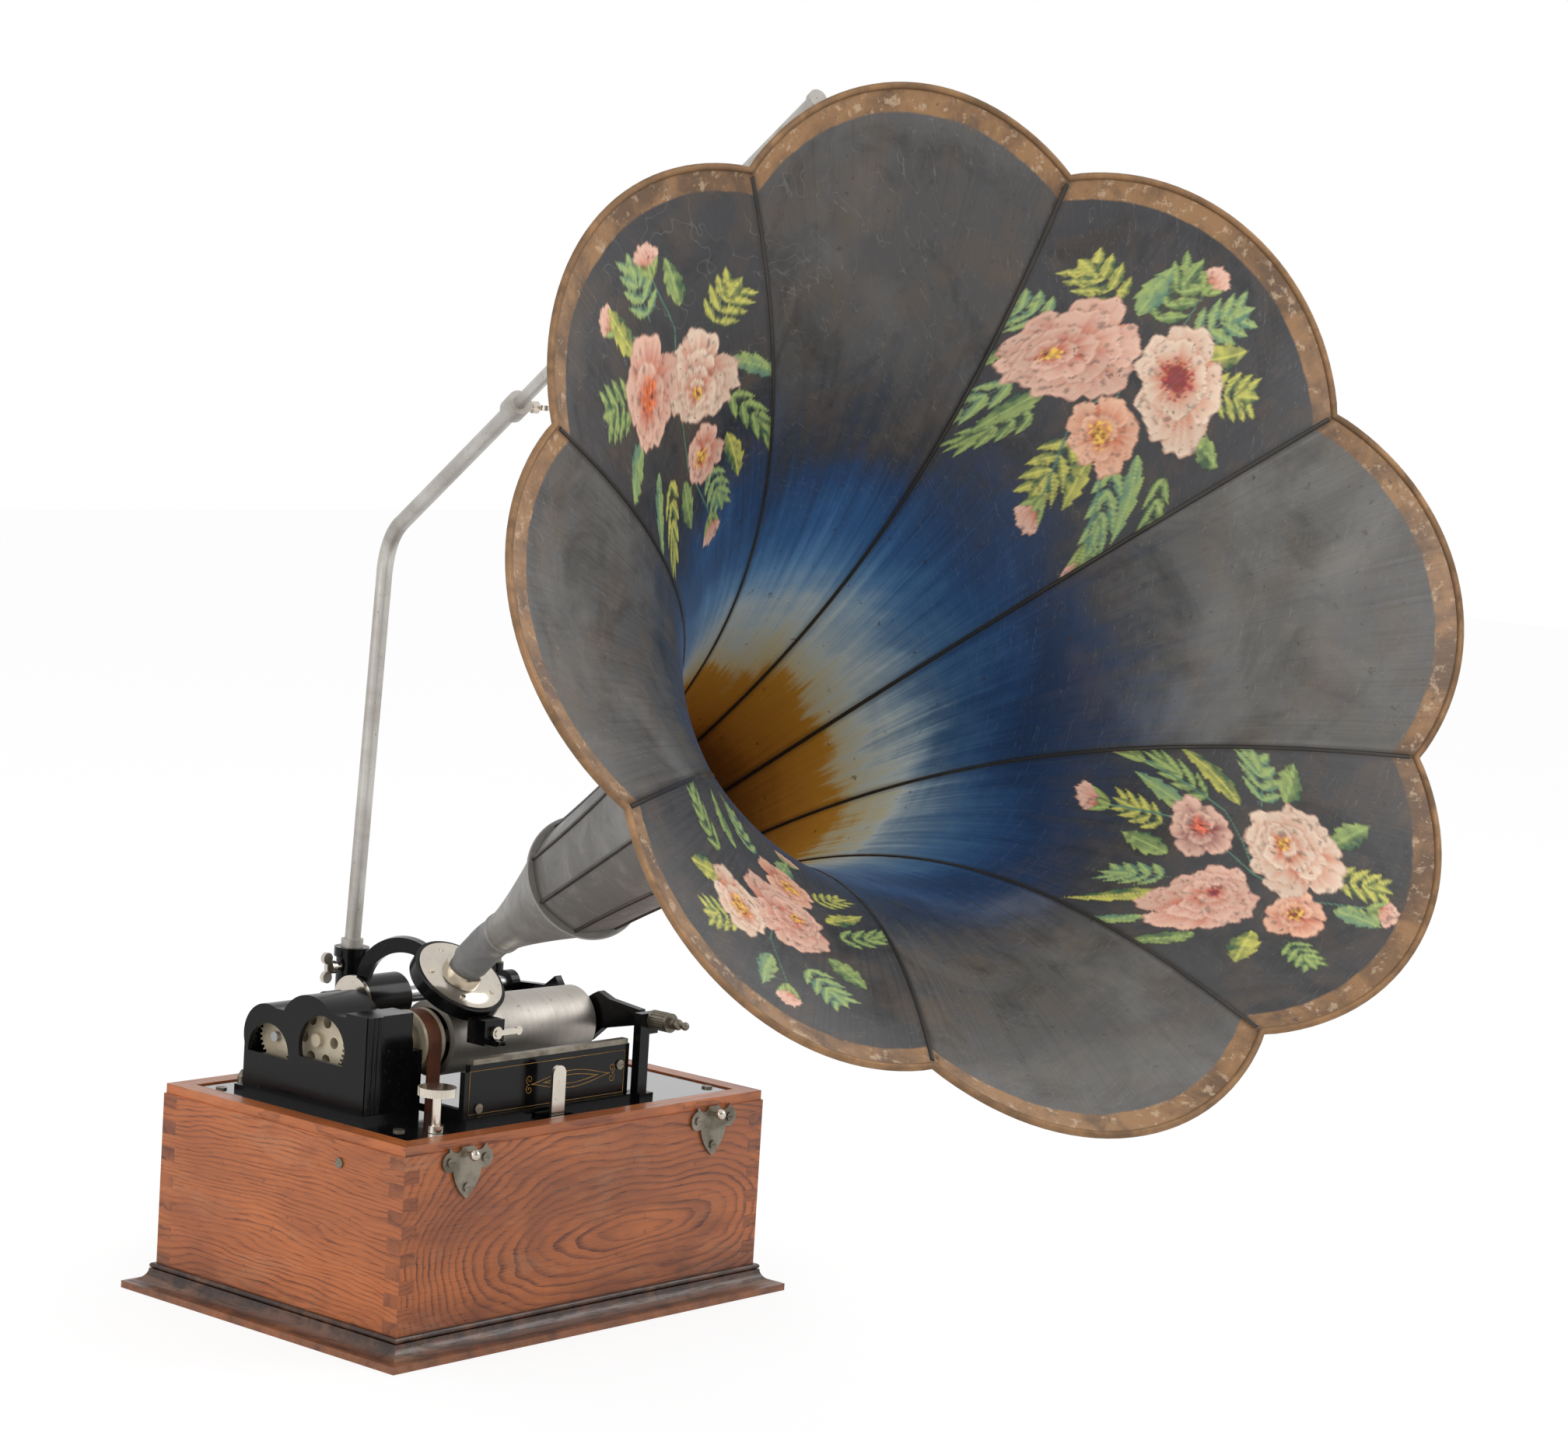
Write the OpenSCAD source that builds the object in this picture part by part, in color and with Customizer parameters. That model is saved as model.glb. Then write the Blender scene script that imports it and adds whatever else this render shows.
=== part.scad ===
/* [Case] */
// Width of the case body, left to right
case_w = 305; // [280:1:330]
// Depth of the case body, front to back
case_d = 212; // [205:1:240]
// Thickness of the case boards
board = 12; // [9:0.5:14]
// Height of the base moulding
plinth_h = 16.3; // [12:0.1:20]
// How far the base moulding stands out from the body
plinth_out = 14.6; // [8:0.1:20]
// Height of the body boards above the moulding
body_h = 104.5; // [100:0.5:125]
// Height of the frame round the bedplate
frame_h = 5.9; // [5.4:0.1:8]
// Number of fingers in each corner joint
fingers = 13; // [9:2:17]

/* [Bed] */
// Thickness of the cast bedplate
bed_t = 5; // [4:0.1:5.2]
// Gap between the bedplate and its frame
bed_gap = 0.4; // [0.3:0.1:1]
// Plane of the front plate, behind the case front
plate_y = -72; // [-74:0.5:-70]
// Height of the front plate
plate_h = 34.5; // [32:0.5:36]

/* [Mandrel and drive] */
// Radius of the mandrel at its right end
mandrel_r = 21.6; // [20:0.1:22]
// Taper of the mandrel, radius gained at its left end
mandrel_taper = 1.4; // [0.5:0.1:2]
// Length of the mandrel
mandrel_l = 122; // [110:1:122]
// Mandrel axis, front to back
mandrel_y = -16; // [-18:0.5:-14]
// Mandrel axis above the bedplate
mandrel_up = 39; // [38:0.5:41]
// Radius of both belt pulleys under the belt
pulley_r = 17; // [14:0.5:18]
// Width of the leather belt
belt_w = 10; // [6:0.5:11]
// Thickness of the leather belt
belt_t = 1.6; // [1:0.1:2.4]
// Gear module
gear_m = 1; // [0.9:0.05:1.02]
// Width of the drive gears
gear_w = 6; // [4:0.5:8]
// Radius of the main shafts
shaft_r = 4; // [3:0.1:4.5]
// Running clearance of every shaft in its bore
run = 0.05; // [0.03:0.01:0.09]

/* [Carriage and reproducer] */
// Radius of the guide rod behind the mandrel
rod_r = 5; // [4:0.1:6]
// Outer radius of the carriage sleeve
sleeve_r = 15; // [13:0.5:16]
// Length of the carriage sleeve
sleeve_l = 34; // [28:1:38]
// Travel of the carriage along the mandrel
travel = 80; // [60:1:82]
// Forward tilt of the reproducer
tilt = 36; // [34:0.5:37]
// Outer radius of the reproducer ring
ring_r = 30; // [28:0.5:31]
// Wall of the reproducer ring
ring_wall = 4.5; // [3.5:0.5:6]

/* [Horn] */
// Radius of the bell at its seams
bell_r = 233.3; // [200:1:240]
// Length of the horn along its axis
horn_l = 614.5; // [560:0.5:640]
// Upward slope of the horn
horn_el = 24.85; // [24:0.05:26]
// Turn of the horn to the left of straight ahead
horn_az = 20.23; // [19:0.01:21]
// Distance over which the flare grows
flare = 138; // [125:1:150]
// Radius that the flare tends to at the neck
neck_r = 26; // [22:0.5:28]
// Number of petals
petals = 8; // [7:1:10]
// How far each lobe of the rim stands forward
lobe = 10; // [6:0.5:12]
// Thickness of the sheet metal
sheet = 0.6; // [0.5:0.05:0.9]
// Radius of the wired rim
rim_r = 1.8; // [1.4:0.1:2.2]

/* [Crane] */
// Radius of the crane tube
tube_r = 5; // [4.8:0.1:6]
// Radius of the sliding rod
slide_r = 3.9; // [3.5:0.1:4]
// Outer radius of the crane socket
socket_r = 9.5; // [8.5:0.5:11]

/* [Crank] */
// Length of the crank arm
crank_l = 54; // [44:1:56]
// Length of the wooden handle
handle_l = 50; // [40:1:60]

/* [Hidden] */
$fn = 48;
e = 0.01;
wood = [0.62, 0.31, 0.14];
dark_wood = [0.36, 0.18, 0.09];
japan = [0.05, 0.05, 0.055];
nickel = [0.75, 0.73, 0.69];
steel = [0.6, 0.6, 0.61];
brass = [0.75, 0.6, 0.3];
horn_grey = [0.3, 0.3, 0.31];
leather = [0.4, 0.22, 0.12];

// Levels, from the floor up
body_top = plinth_h + body_h;
frame_top = body_top + frame_h;
bed_top = body_top + bed_t;
half_w = case_w / 2;
half_d = case_d / 2;
finger_h = body_h / fingers;
frame_in = 1;
frame_wall = 12.5;
ledge = 6;
bed_w = case_w - 2 * frame_in - 2 * frame_wall - 2 * bed_gap;
bed_d = case_d - 2 * frame_in - 2 * frame_wall - 2 * bed_gap;

// Mandrel line
mandrel_z = bed_top + mandrel_up;
mandrel_x1 = 69.6;
mandrel_x0 = mandrel_x1 - mandrel_l;
pulley_x1 = mandrel_x0 - 4;
flange_t = 2.2;
pulley_w = belt_w + 1.6;
pulley_x0 = pulley_x1 - pulley_w - 2 * flange_t;
flange_r = pulley_r + 2;
belt_x = (pulley_x0 + pulley_x1) / 2;

// Gear train beside the mandrel
pinion_n = 16;
idler_n = 44;
feed_n = 30;
feed_drop = 4;
idler_y = mandrel_y + gear_m * (pinion_n + idler_n) / 2;
idler_z = mandrel_z;
feed_reach = gear_m * (idler_n + feed_n) / 2;
feed_y = idler_y + sqrt(feed_reach * feed_reach - feed_drop * feed_drop);
feed_z = mandrel_z - feed_drop;
gear_x0 = -113;
gear_x1 = gear_x0 + gear_w;
cover_x0 = -122;
cover_x1 = -88;
frame_x1 = -85;
bearing_x1 = pulley_x0 - 1;
cover_wall = 3;
cover_back = feed_y + 19.5;
cover_front = mandrel_y - 20;
screw_r = 4.5;

// Guide rod and carriage
rod_y = 38;
rod_z = mandrel_z + 15;
bush_r = rod_r + 3;
sleeve_x0 = -64;
sleeve_x1 = sleeve_x0 + sleeve_l;
ring_x = -38.7;
ring_y = -24;
ring_z = mandrel_z + 34.9;
ring_in = ring_r - ring_wall;
ring_t = 8;
tip_n = [0, -sin(tilt), cos(tilt)];
tip_e = [0, cos(tilt), sin(tilt)];
ring_c = [ring_x, ring_y, ring_z];
ball_r = 10;
ball_up = 14;
pivot = ring_c + ball_up * tip_n;
elbow_r = 11.5;

// Front plate, straight edge and gate
plate_t = 4;
plate_x0 = -77;
plate_x1 = 62;
plate_top = bed_top + plate_h;
edge_h = 3.2;
edge_w = 5;
edge_top = plate_top + edge_h;
post_x0 = 65;
post_x1 = 73;
post_y0 = -80;
post_y1 = -74;
gate_x0 = 72.6;
gate_t = 5.4;
gate_x1 = gate_x0 + gate_t;
gate_mid = gate_x0 + gate_t / 2;
stud_z = mandrel_z + 10;
stud_r = 3;
hinge_y = 60;
hinge_r = 3;

// Horn line
horn_dir = [-sin(horn_az) * cos(horn_el), -cos(horn_az) * cos(horn_el), sin(horn_el)];
horn_small = [ring_x + 0.2, pivot[1] - 16.8, pivot[2] + 16.3];
bell_c = horn_small + horn_l * horn_dir;
horn_roll = 25.5;
petal_a = 360 / petals;
neck_l = 140.5;
ring_d = horn_l - neck_l;
grow_rim = 0.035;
grow_neck = -0.04;
grow_span = 150;
small_r = 11;
eye_d = 98;
eye_turn = horn_roll + 3.5 * petal_a;

// Crane line
socket_x = 4;
socket_y = half_d + 10;
socket_top = body_top + 75;
bend_p = [13, socket_y - 4, body_top + 334];
crane_tip = [-149, -363, body_top + 598.7];
tube_share = 0.35;
tube_end = bend_p + tube_share * (crane_tip - bend_p);
slide_dir = unit(crane_tip - bend_p);
side_dir = unit(cross(slide_dir, [0, 0, 1]));
drop_dir = unit(cross(slide_dir, side_dir));
hook_back = 7;
hook_drop = 19.5;
hook_len = 16;
hook_r = 1.3;
ring_play = 0.9;
ring_link_r = 9.5;
ring_wire = 1.1;
link_r = 3.6;
link_wire = 0.9;
link_pitch = 5.3;

// Motor, below the bed
motor_x0 = -92;
motor_x1 = 7;
motor_t = 3;
drive_z = body_top - 31;
drive_n = 12;
centre_n = 42;
centre_a = 56;
centre_reach = gear_m * (drive_n + centre_n) / 2;
centre_y = mandrel_y + centre_reach * cos(centre_a);
centre_z = drive_z - centre_reach * sin(centre_a);
barrel_n = 80;
barrel_r = 38;
barrel_y = centre_y + gear_m * (drive_n + barrel_n) / 2;
barrel_z = centre_z;
gov_n = 36;
gov_a = 213;
gov_reach = gear_m * (gov_n + drive_n) / 2;
gov_y = mandrel_y + gov_reach * cos(gov_a);
gov_z = drive_z + gov_reach * sin(gov_a);
wind_n = 24;
wind_gear_n = 48;
wind_y = barrel_y - gear_m * (wind_n + wind_gear_n) / 2;
wind_z = barrel_z;
wind_r = 5;
crank_x = half_w + plinth_out + 2.5;

function unit(v) = v / norm(v);
function flare_r(d) = neck_r + (bell_r - neck_r) * exp(-d / flare);
function flare_s(d) = (bell_r - neck_r) / flare * exp(-d / flare);
function grow(d) = grow_neck + (grow_rim - grow_neck) * exp(-max(d, 0) / grow_span);
function petal_d(s, t) = -lobe * (1 - s * s) * pow(1 - t, 2) + ring_d * pow(t, 1.5);
function petal_p(s, t, out, past = 0) =
  let(
    d = petal_d(s, t),
    k = flare_s(d),
    q = sqrt(1 + k * k),
    r = flare_r(d) * (1 + grow(d) * (1 - s * s)) + out / q + past * k / q,
    a = s * petal_a / 2
  )
  [r * cos(a), r * sin(a), -d - out * k / q + past / q];
function mesh_turn(way, turn, n_a, n_b) = way + 180 - (360 / n_b) * (0.5 - (way - turn) * n_a / 360);

module along(p, d) {
  v = unit(d);
  translate(p) rotate([0, acos(v[2]), atan2(v[1], v[0])]) children();
}

module bar(p, q, r) {
  along(p, q - p) cylinder(r = r, h = norm(q - p));
}

module on_x(x, y, z) {
  translate([x, y, z]) rotate([90, 0, 90]) children();
}

module on_y(x, y, z) {
  translate([x, y, z]) rotate([90, 0, 0]) children();
}

module on_ring() {
  translate(ring_c) rotate([tilt, 0, 0]) children();
}

module in_horn() {
  translate(bell_c) rotate([0, 90 - horn_el, -horn_az - 90]) children();
}

// Spur gear with straight-sided teeth, its first tooth turned by turn
module gear(n, w, bore, turn = 0) {
  pitch = gear_m * n / 2;
  tip = pitch + 0.85 * gear_m;
  root = pitch - 1.15 * gear_m;
  step = 360 / n;
  difference() {
    linear_extrude(w) rotate(turn) polygon([
      for (i = [0:n - 1], c = [[root, -0.3], [tip, -0.12], [tip, 0.12], [root, 0.3]])
        [c[0] * cos((i + c[1]) * step), c[0] * sin((i + c[1]) * step)]
    ]);
    translate([0, 0, -1]) cylinder(r = bore, h = w + 2);
  }
}

module ball_knob(r, neck) {
  cylinder(r = r * 0.5, h = neck + e);
  translate([0, 0, neck + r * 0.8]) sphere(r = r);
}

// Case

module finger_cuts(odd) {
  for (i = [0:fingers - 1]) {
    if (i % 2 == odd) {
      translate([-board / 2, -board / 2, i * finger_h]) cube([board, board, finger_h]);
    }
  }
}

module cross_board(side) {
  difference() {
    translate([-half_w, side * (half_d - board / 2) - board / 2, plinth_h]) cube([case_w, board, body_h]);
    for (s = [-1, 1]) {
      translate([s * (half_w - board / 2), side * (half_d - board / 2), plinth_h]) finger_cuts(1);
    }
  }
}

module side_board(side) {
  x = side * (half_w - board / 2);
  translate([x - board / 2, -half_d + board, plinth_h]) cube([board, case_d - 2 * board, body_h]);
  for (s = [-1, 1]) {
    translate([x, s * (half_d - board / 2), plinth_h]) finger_cuts(1);
  }
}

module case_front() {
  color(wood) cross_board(-1);
}

module case_back() {
  color(wood) difference() {
    cross_board(1);
    for (z = [0, 1], x = [-1, 1]) {
      on_y(socket_x + x * 15, half_d + 1, bracket_z(z)) cylinder(r = 1.6, h = 9);
    }
  }
}

module case_left() {
  color(wood) side_board(-1);
}

module case_right() {
  color(wood) difference() {
    side_board(1);
    on_x(half_w - board - 1, wind_y, wind_z) cylinder(r = wind_r + 1.5, h = board + 2);
  }
}

module case_bottom() {
  color(dark_wood)
    translate([-half_w + 6, -half_d + 6, 0]) cube([case_w - 12, case_d - 12, plinth_h]);
}

// Cove and bead of the base moulding, outwards from the body and up from the floor
module moulding_outline() {
  toe = 4.3;
  bead = 1.7;
  rise = plinth_h - toe - 2 * bead;
  reach = plinth_out - 3;
  polygon(concat(
    [[-6, 0], [plinth_out, 0], [plinth_out, toe]],
    [for (i = [0:8]) [3 + reach - reach * sin(i * 11.25), toe + rise * (1 - cos(i * 11.25))]],
    [for (i = [0:6]) [1.3 + bead * cos(-90 + i * 30), plinth_h - bead + bead * sin(-90 + i * 30)]],
    [[-6, plinth_h]]
  ));
}

module moulding_side(length, half) {
  reach = plinth_out + 10;
  intersection() {
    translate([-length / 2 - reach, -half, 0]) rotate([90, 0, 90]) mirror([1, 0, 0])
      linear_extrude(length + 2 * reach) moulding_outline();
    translate([0, -half, -1]) linear_extrude(plinth_h + 2)
      polygon([
        [-length / 2 - reach, -reach], [length / 2 + reach, -reach],
        [length / 2 - 20, 20], [-length / 2 + 20, 20]
      ]);
  }
}

module base_moulding() {
  color(dark_wood) {
    for (a = [0, 180]) {
      rotate(a) moulding_side(case_w, half_d);
      rotate(a + 90) moulding_side(case_d, half_w);
    }
  }
}

module rect_ring(w, d, wall, h) {
  difference() {
    translate([-w / 2, -d / 2, 0]) cube([w, d, h]);
    translate([-w / 2 + wall, -d / 2 + wall, -1]) cube([w - 2 * wall, d - 2 * wall, h + 2]);
  }
}

module bed_frame() {
  outer_w = case_w - 2 * frame_in;
  outer_d = case_d - 2 * frame_in;
  color(wood) {
    translate([0, 0, body_top]) rect_ring(outer_w, outer_d, frame_wall, frame_h);
    translate([0, 0, body_top - 8])
      rect_ring(case_w - 2 * board - 0.2, case_d - 2 * board - 0.2, ledge + frame_wall - board, 8);
  }
}

module shield() {
  difference() {
    union() {
      translate([-15, -2]) square([30, 4]);
      intersection() {
        translate([-17, -15]) square([34, 14]);
        translate([7.5, -2]) circle(r = 21);
        translate([-7.5, -2]) circle(r = 21);
      }
      intersection() {
        translate([-20, -34]) square([40, 26]);
        translate([16, -6]) circle(r = 28);
        translate([-16, -6]) circle(r = 28);
      }
      for (s = [-1, 1]) {
        translate([s * 14, -6]) circle(r = 6);
      }
    }
    for (s = [-1, 1]) {
      translate([s * 9, 4]) circle(r = 5);
      translate([s * 21, -16]) circle(r = 5);
      translate([s * 14, -6]) circle(r = 1.8);
    }
    translate([0, -22]) circle(r = 1.8);
  }
}

clasp_x = [-104, 106];
clasp_z = body_top + 3.4;

module case_plates() {
  color(nickel) {
    for (x = clasp_x) {
      on_y(x, -half_d, clasp_z - 4) linear_extrude(1.6) shield();
    }
    on_x(half_w, wind_y, wind_z) difference() {
      cylinder(r = 17, h = 2);
      translate([0, 0, -1]) cylinder(r = wind_r + 1.5, h = 4);
      for (a = [0:120:240]) {
        rotate(a) translate([12.5, 0, -1]) cylinder(r = 1.7, h = 4);
      }
    }
  }
}

module clasp_studs() {
  color(nickel) {
    for (x = clasp_x) {
      on_y(x, -half_d - 1.6, clasp_z - 6.5) ball_knob(3.4, 2.5);
    }
  }
}

module wood_screw(r, l) {
  translate([0, 0, -l]) cylinder(r = r * 0.5, h = l);
  difference() {
    cylinder(r = r, h = 1.1);
    translate([-r, -0.35, 0.6]) cube([2 * r, 0.7, 2]);
  }
}

module case_screws() {
  color(nickel) {
    for (x = clasp_x) {
      for (p = [[-14, -6], [14, -6], [0, -22]]) {
        on_y(x + p[0], -half_d - 1.6, clasp_z - 4 + p[1]) wood_screw(2.7, 1.2);
      }
    }
    for (a = [0:120:240]) {
      on_x(half_w + 2, wind_y, wind_z) rotate(a) translate([12.5, 0, 0]) wood_screw(2.6, 1.5);
    }
    translate([-half_w, -half_d + 54, body_top - 13]) rotate([0, -90, 0]) cylinder(r = 3, h = 1.2);
    for (p = bed_screw_at) {
      translate([p[0], p[1], bed_top]) wood_screw(3.4, bed_t - 1);
    }
    translate([-half_w + 44, bed_d / 2 - 6, bed_top]) {
      cylinder(r = 3, h = 4);
      translate([0, 0, 4]) cylinder(r1 = 3, r2 = 0.8, h = 4);
    }
  }
}

bed_screw_at = [
  [-half_w + 30, -bed_d / 2 + 24], [-half_w + 21, cover_back + 8], [half_w - 22, -bed_d / 2 + 14],
  [half_w - 22, bed_d / 2 - 14], [28, bed_d / 2 - 10], [-20, bed_d / 2 - 10]
];

// Bed and castings

lever_x = -11;
lever_y = -half_d + 20;
speed_x = -106.7;
speed_y = -half_d + 24;

module bedplate() {
  color(japan) difference() {
    union() {
      translate([-bed_w / 2, -bed_d / 2, body_top]) cube([bed_w, bed_d, bed_t]);
      translate([lever_x - 7, lever_y + 1.7, body_top - 13]) cube([14, 5, 13 + e]);
    }
    on_y(lever_x, lever_y + 8, bed_top - 12) cylinder(r = 2.2 + run, h = 8);
    translate([belt_x - pulley_w / 2 - 2, mandrel_y - pulley_r - 6, body_top - 1])
      cube([pulley_w + 4, 2 * pulley_r + 12, bed_t + 2]);
    translate([lever_x - 13, lever_y - 2.4, body_top - 1]) cube([26, 4.8, bed_t + 2]);
    translate([speed_x, speed_y, body_top - 1]) cylinder(r = 2.8 + run, h = bed_t + 2);
    for (p = bed_screw_at) {
      translate([p[0], p[1], bed_top - bed_t + 0.5]) cylinder(r = 1.75, h = bed_t);
    }
  }
}

// Outline of the gear housing, looking along +X: two humps over the idler and the feed gear
module housing_outline(grow_by = 0) {
  front = cover_front - grow_by;
  translate([front, bed_top]) square([cover_back - cover_front + 2 * grow_by, feed_z + 2 - bed_top]);
  translate([idler_y, idler_z + 1]) circle(r = 26.5 + grow_by, $fn = 96);
  translate([feed_y + 0.5, feed_z + 0.5]) circle(r = 20 + grow_by, $fn = 96);
  translate([front, bed_top]) square([18, mandrel_z + 22 - bed_top + grow_by]);
  translate([front, bed_top]) square([38, mandrel_z + 19.5 - bed_top + grow_by]);
  translate([idler_y, bed_top]) square([30, mandrel_z + 15 - bed_top + grow_by]);
}

module cover_window(y, z, r, low) {
  difference() {
    translate([y, z]) circle(r = r, $fn = 72);
    translate([y - r - 1, z - 2 * r]) square([2 * r + 2, 2 * r - low]);
  }
}

module gear_cover() {
  color(japan) difference() {
    union() {
      on_x(cover_x0, 0, 0) linear_extrude(cover_x1 - cover_x0) housing_outline();
      translate([cover_x0 - 3, cover_front - 4, bed_top])
        cube([cover_x1 - cover_x0 + 3, cover_back - cover_front + 8, 3.4]);
      for (i = [0:2]) {
        translate([cover_x0 + 3 + i * 3.6, cover_front, bed_top]) cylinder(r = 2.2, h = mandrel_z + 22 - bed_top);
      }
    }
    on_x(cover_x0 + cover_wall, 0, 0) linear_extrude(cover_x1 - cover_x0) intersection() {
      housing_outline(-cover_wall);
      translate([cover_front + cover_wall, bed_top - 1])
        square([cover_back - cover_front - 2 * cover_wall, 120]);
    }
    translate([cover_x0 + cover_wall, cover_front + cover_wall, bed_top - 1])
      cube([cover_x1 - cover_x0, cover_back - cover_front - 2 * cover_wall, 10]);
    on_x(cover_x0 - 1, 0, 0) linear_extrude(cover_wall + 2) {
      cover_window(idler_y - 12, mandrel_z - 3, 20, 7);
      cover_window(feed_y - 2, feed_z - 9, 18, 1);
    }
  }
}

module gear_frame() {
  bores = [[mandrel_y, mandrel_z, shaft_r], [idler_y, idler_z, shaft_r], [feed_y, feed_z, shaft_r]];
  color(japan) difference() {
    union() {
      on_x(cover_x1, 0, 0) linear_extrude(frame_x1 - cover_x1) housing_outline();
      translate([frame_x1 - e, mandrel_y - 17, bed_top]) cube([bearing_x1 - frame_x1 + e, 34, mandrel_up - 2]);
      on_x(frame_x1 - e, mandrel_y, mandrel_z) cylinder(r = 9, h = bearing_x1 - frame_x1 + e);
      on_x(frame_x1 - e, rod_y, rod_z) cylinder(r = rod_r + 3, h = 9);
      on_x(frame_x1 - e, feed_y, feed_z) cylinder(r = shaft_r + 3, h = 7);
      on_x(cover_x1, rod_y, rod_z) cylinder(r = rod_r + 3, h = 6);
    }
    for (b = bores) {
      on_x(cover_x1 - 20, b[0], b[1]) cylinder(r = b[2] + run, h = 60);
    }
    on_x(cover_x1 + 1.5, rod_y, rod_z) cylinder(r = rod_r, h = 40);
  }
}

module front_plate() {
  x_mid = (plate_x0 + plate_x1) / 2;
  color(japan) {
    difference() {
      on_y(0, plate_y + plate_t / 2, bed_top) linear_extrude(plate_t) difference() {
        translate([plate_x0, 0]) square([plate_x1 - plate_x0, plate_h]);
        translate([plate_x0 - 1, plate_h - 4]) square([5, 5]);
      }
      on_y(plate_x1 - 8, plate_y + plate_t, bed_top + 22) cylinder(r = 1.7, h = 10);
      on_y(plate_x0 + 12, plate_y + plate_t, bed_top + 8) cylinder(r = 1.7, h = 10);
    }
    difference() {
      translate([plate_x0 - 2, plate_y - plate_t / 2 - 5, bed_top]) cube([plate_x1 - plate_x0 + 4, 5, 4]);
      translate([lever_x - 14, plate_y - 20, bed_top - 1]) cube([28, 20, 3]);
    }
    translate([plate_x0, plate_y + plate_t / 2, bed_top]) cube([4, 22, 8]);
    translate([plate_x1 - 4, plate_y + plate_t / 2, bed_top]) cube([4, 22, 8]);
  }
}

module straight_edge() {
  color(nickel) {
    translate([plate_x0 + 6, plate_y - edge_w / 2, plate_top])
      cube([plate_x1 - plate_x0 - 8, edge_w, edge_h]);
    for (x = [plate_x1 - 8, plate_x0 + 12]) {
      z = x > 0 ? 22 : 8;
      on_y(x, plate_y - plate_t / 2, bed_top + z) wood_screw(3, plate_t);
    }
  }
}

module gate_post() {
  head = 9;
  color(japan) difference() {
    union() {
      translate([post_x0, post_y0, bed_top]) cube([post_x1 - post_x0, post_y1 - post_y0, stud_z - bed_top + 4]);
      translate([post_x0 - 0.8, post_y0 - 3, bed_top]) cube([post_x1 - post_x0 + 3.8, post_y1 - post_y0 + 8, 4]);
      translate([post_x1 - e, post_y0, stud_z - head])
        cube([gate_mid + 5 - post_x1, post_y1 - post_y0, head + 4]);
    }
    on_y(gate_mid, post_y1 + 1, stud_z) cylinder(r = stud_r + 0.3, h = 8);
    translate([gate_mid, post_y0 - 1, stud_z - stud_r - 0.3]) cube([20, 8, 2 * stud_r + 0.6]);
  }
}

module back_post() {
  y0 = rod_y - 9;
  y1 = hinge_y + 8;
  color(japan) difference() {
    union() {
      translate([gate_x0 - 11, y0, bed_top]) cube([9, y1 - y0, 6]);
      translate([gate_x0 - 10, y0 + 2, bed_top]) cube([7, y1 - y0 - 4, mandrel_up - 8]);
      translate([gate_x0 - 10, rod_y - 7, bed_top]) cube([7, 14, rod_z - bed_top]);
      on_x(gate_x0 - 10, rod_y, rod_z) cylinder(r = rod_r + 3, h = 7);
      on_x(gate_x0 - 10, feed_y, feed_z) cylinder(r = shaft_r + 3, h = 7);
      translate([gate_x0 - 10, hinge_y - 5, stud_z - 46]) cube([10 + gate_t / 2, 10, 8]);
      translate([gate_x0 - 10, hinge_y - 5, stud_z + 8]) cube([10 + gate_t / 2, 10, 6]);
      translate([gate_x0 - 10, hinge_y - 5, bed_top]) cube([7, 10, stud_z + 14 - bed_top]);
      for (z = [stud_z - 46, stud_z + 8]) {
        translate([gate_mid, hinge_y, z]) cylinder(r = 6, h = z < stud_z ? 8 : 6);
      }
    }
    on_x(gate_x0 - 20, rod_y, rod_z) cylinder(r = rod_r, h = 15);
    on_x(gate_x0 - 20, feed_y, feed_z) cylinder(r = shaft_r + run, h = 16);
    translate([gate_mid, hinge_y, stud_z - 47]) cylinder(r = hinge_r + run, h = 70);
  }
}

module back_rod() {
  color(steel) on_x(cover_x1 + 1.5, rod_y, rod_z) cylinder(r = rod_r, h = gate_x0 - 5 - cover_x1 - 1.5);
}

module belt_guide() {
  y = mandrel_y + pulley_r + 9;
  color(nickel) {
    translate([belt_x - 15, y, bed_top]) cube([30, 10, 2]);
    translate([belt_x - 15, y, bed_top]) cube([30, 2, 20]);
    for (s = [-1, 1]) {
      translate([belt_x + s * 10 - 1.5, y - 4, bed_top + 12]) cube([3, 4 + e, 6]);
    }
  }
}

// Drive

module mandrel() {
  wall = 3;
  color(nickel) on_x(mandrel_x0, mandrel_y, mandrel_z) difference() {
    union() {
      cylinder(r1 = mandrel_r + mandrel_taper, r2 = mandrel_r, h = mandrel_l, $fn = 72);
      translate([0, 0, mandrel_l - e]) cylinder(r = shaft_r + 2, h = 1.6);
    }
    translate([0, 0, -1]) cylinder(r = mandrel_r - wall, h = mandrel_l - 4);
    translate([0, 0, -1]) cylinder(r = shaft_r, h = mandrel_l + 4);
  }
}

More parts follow.
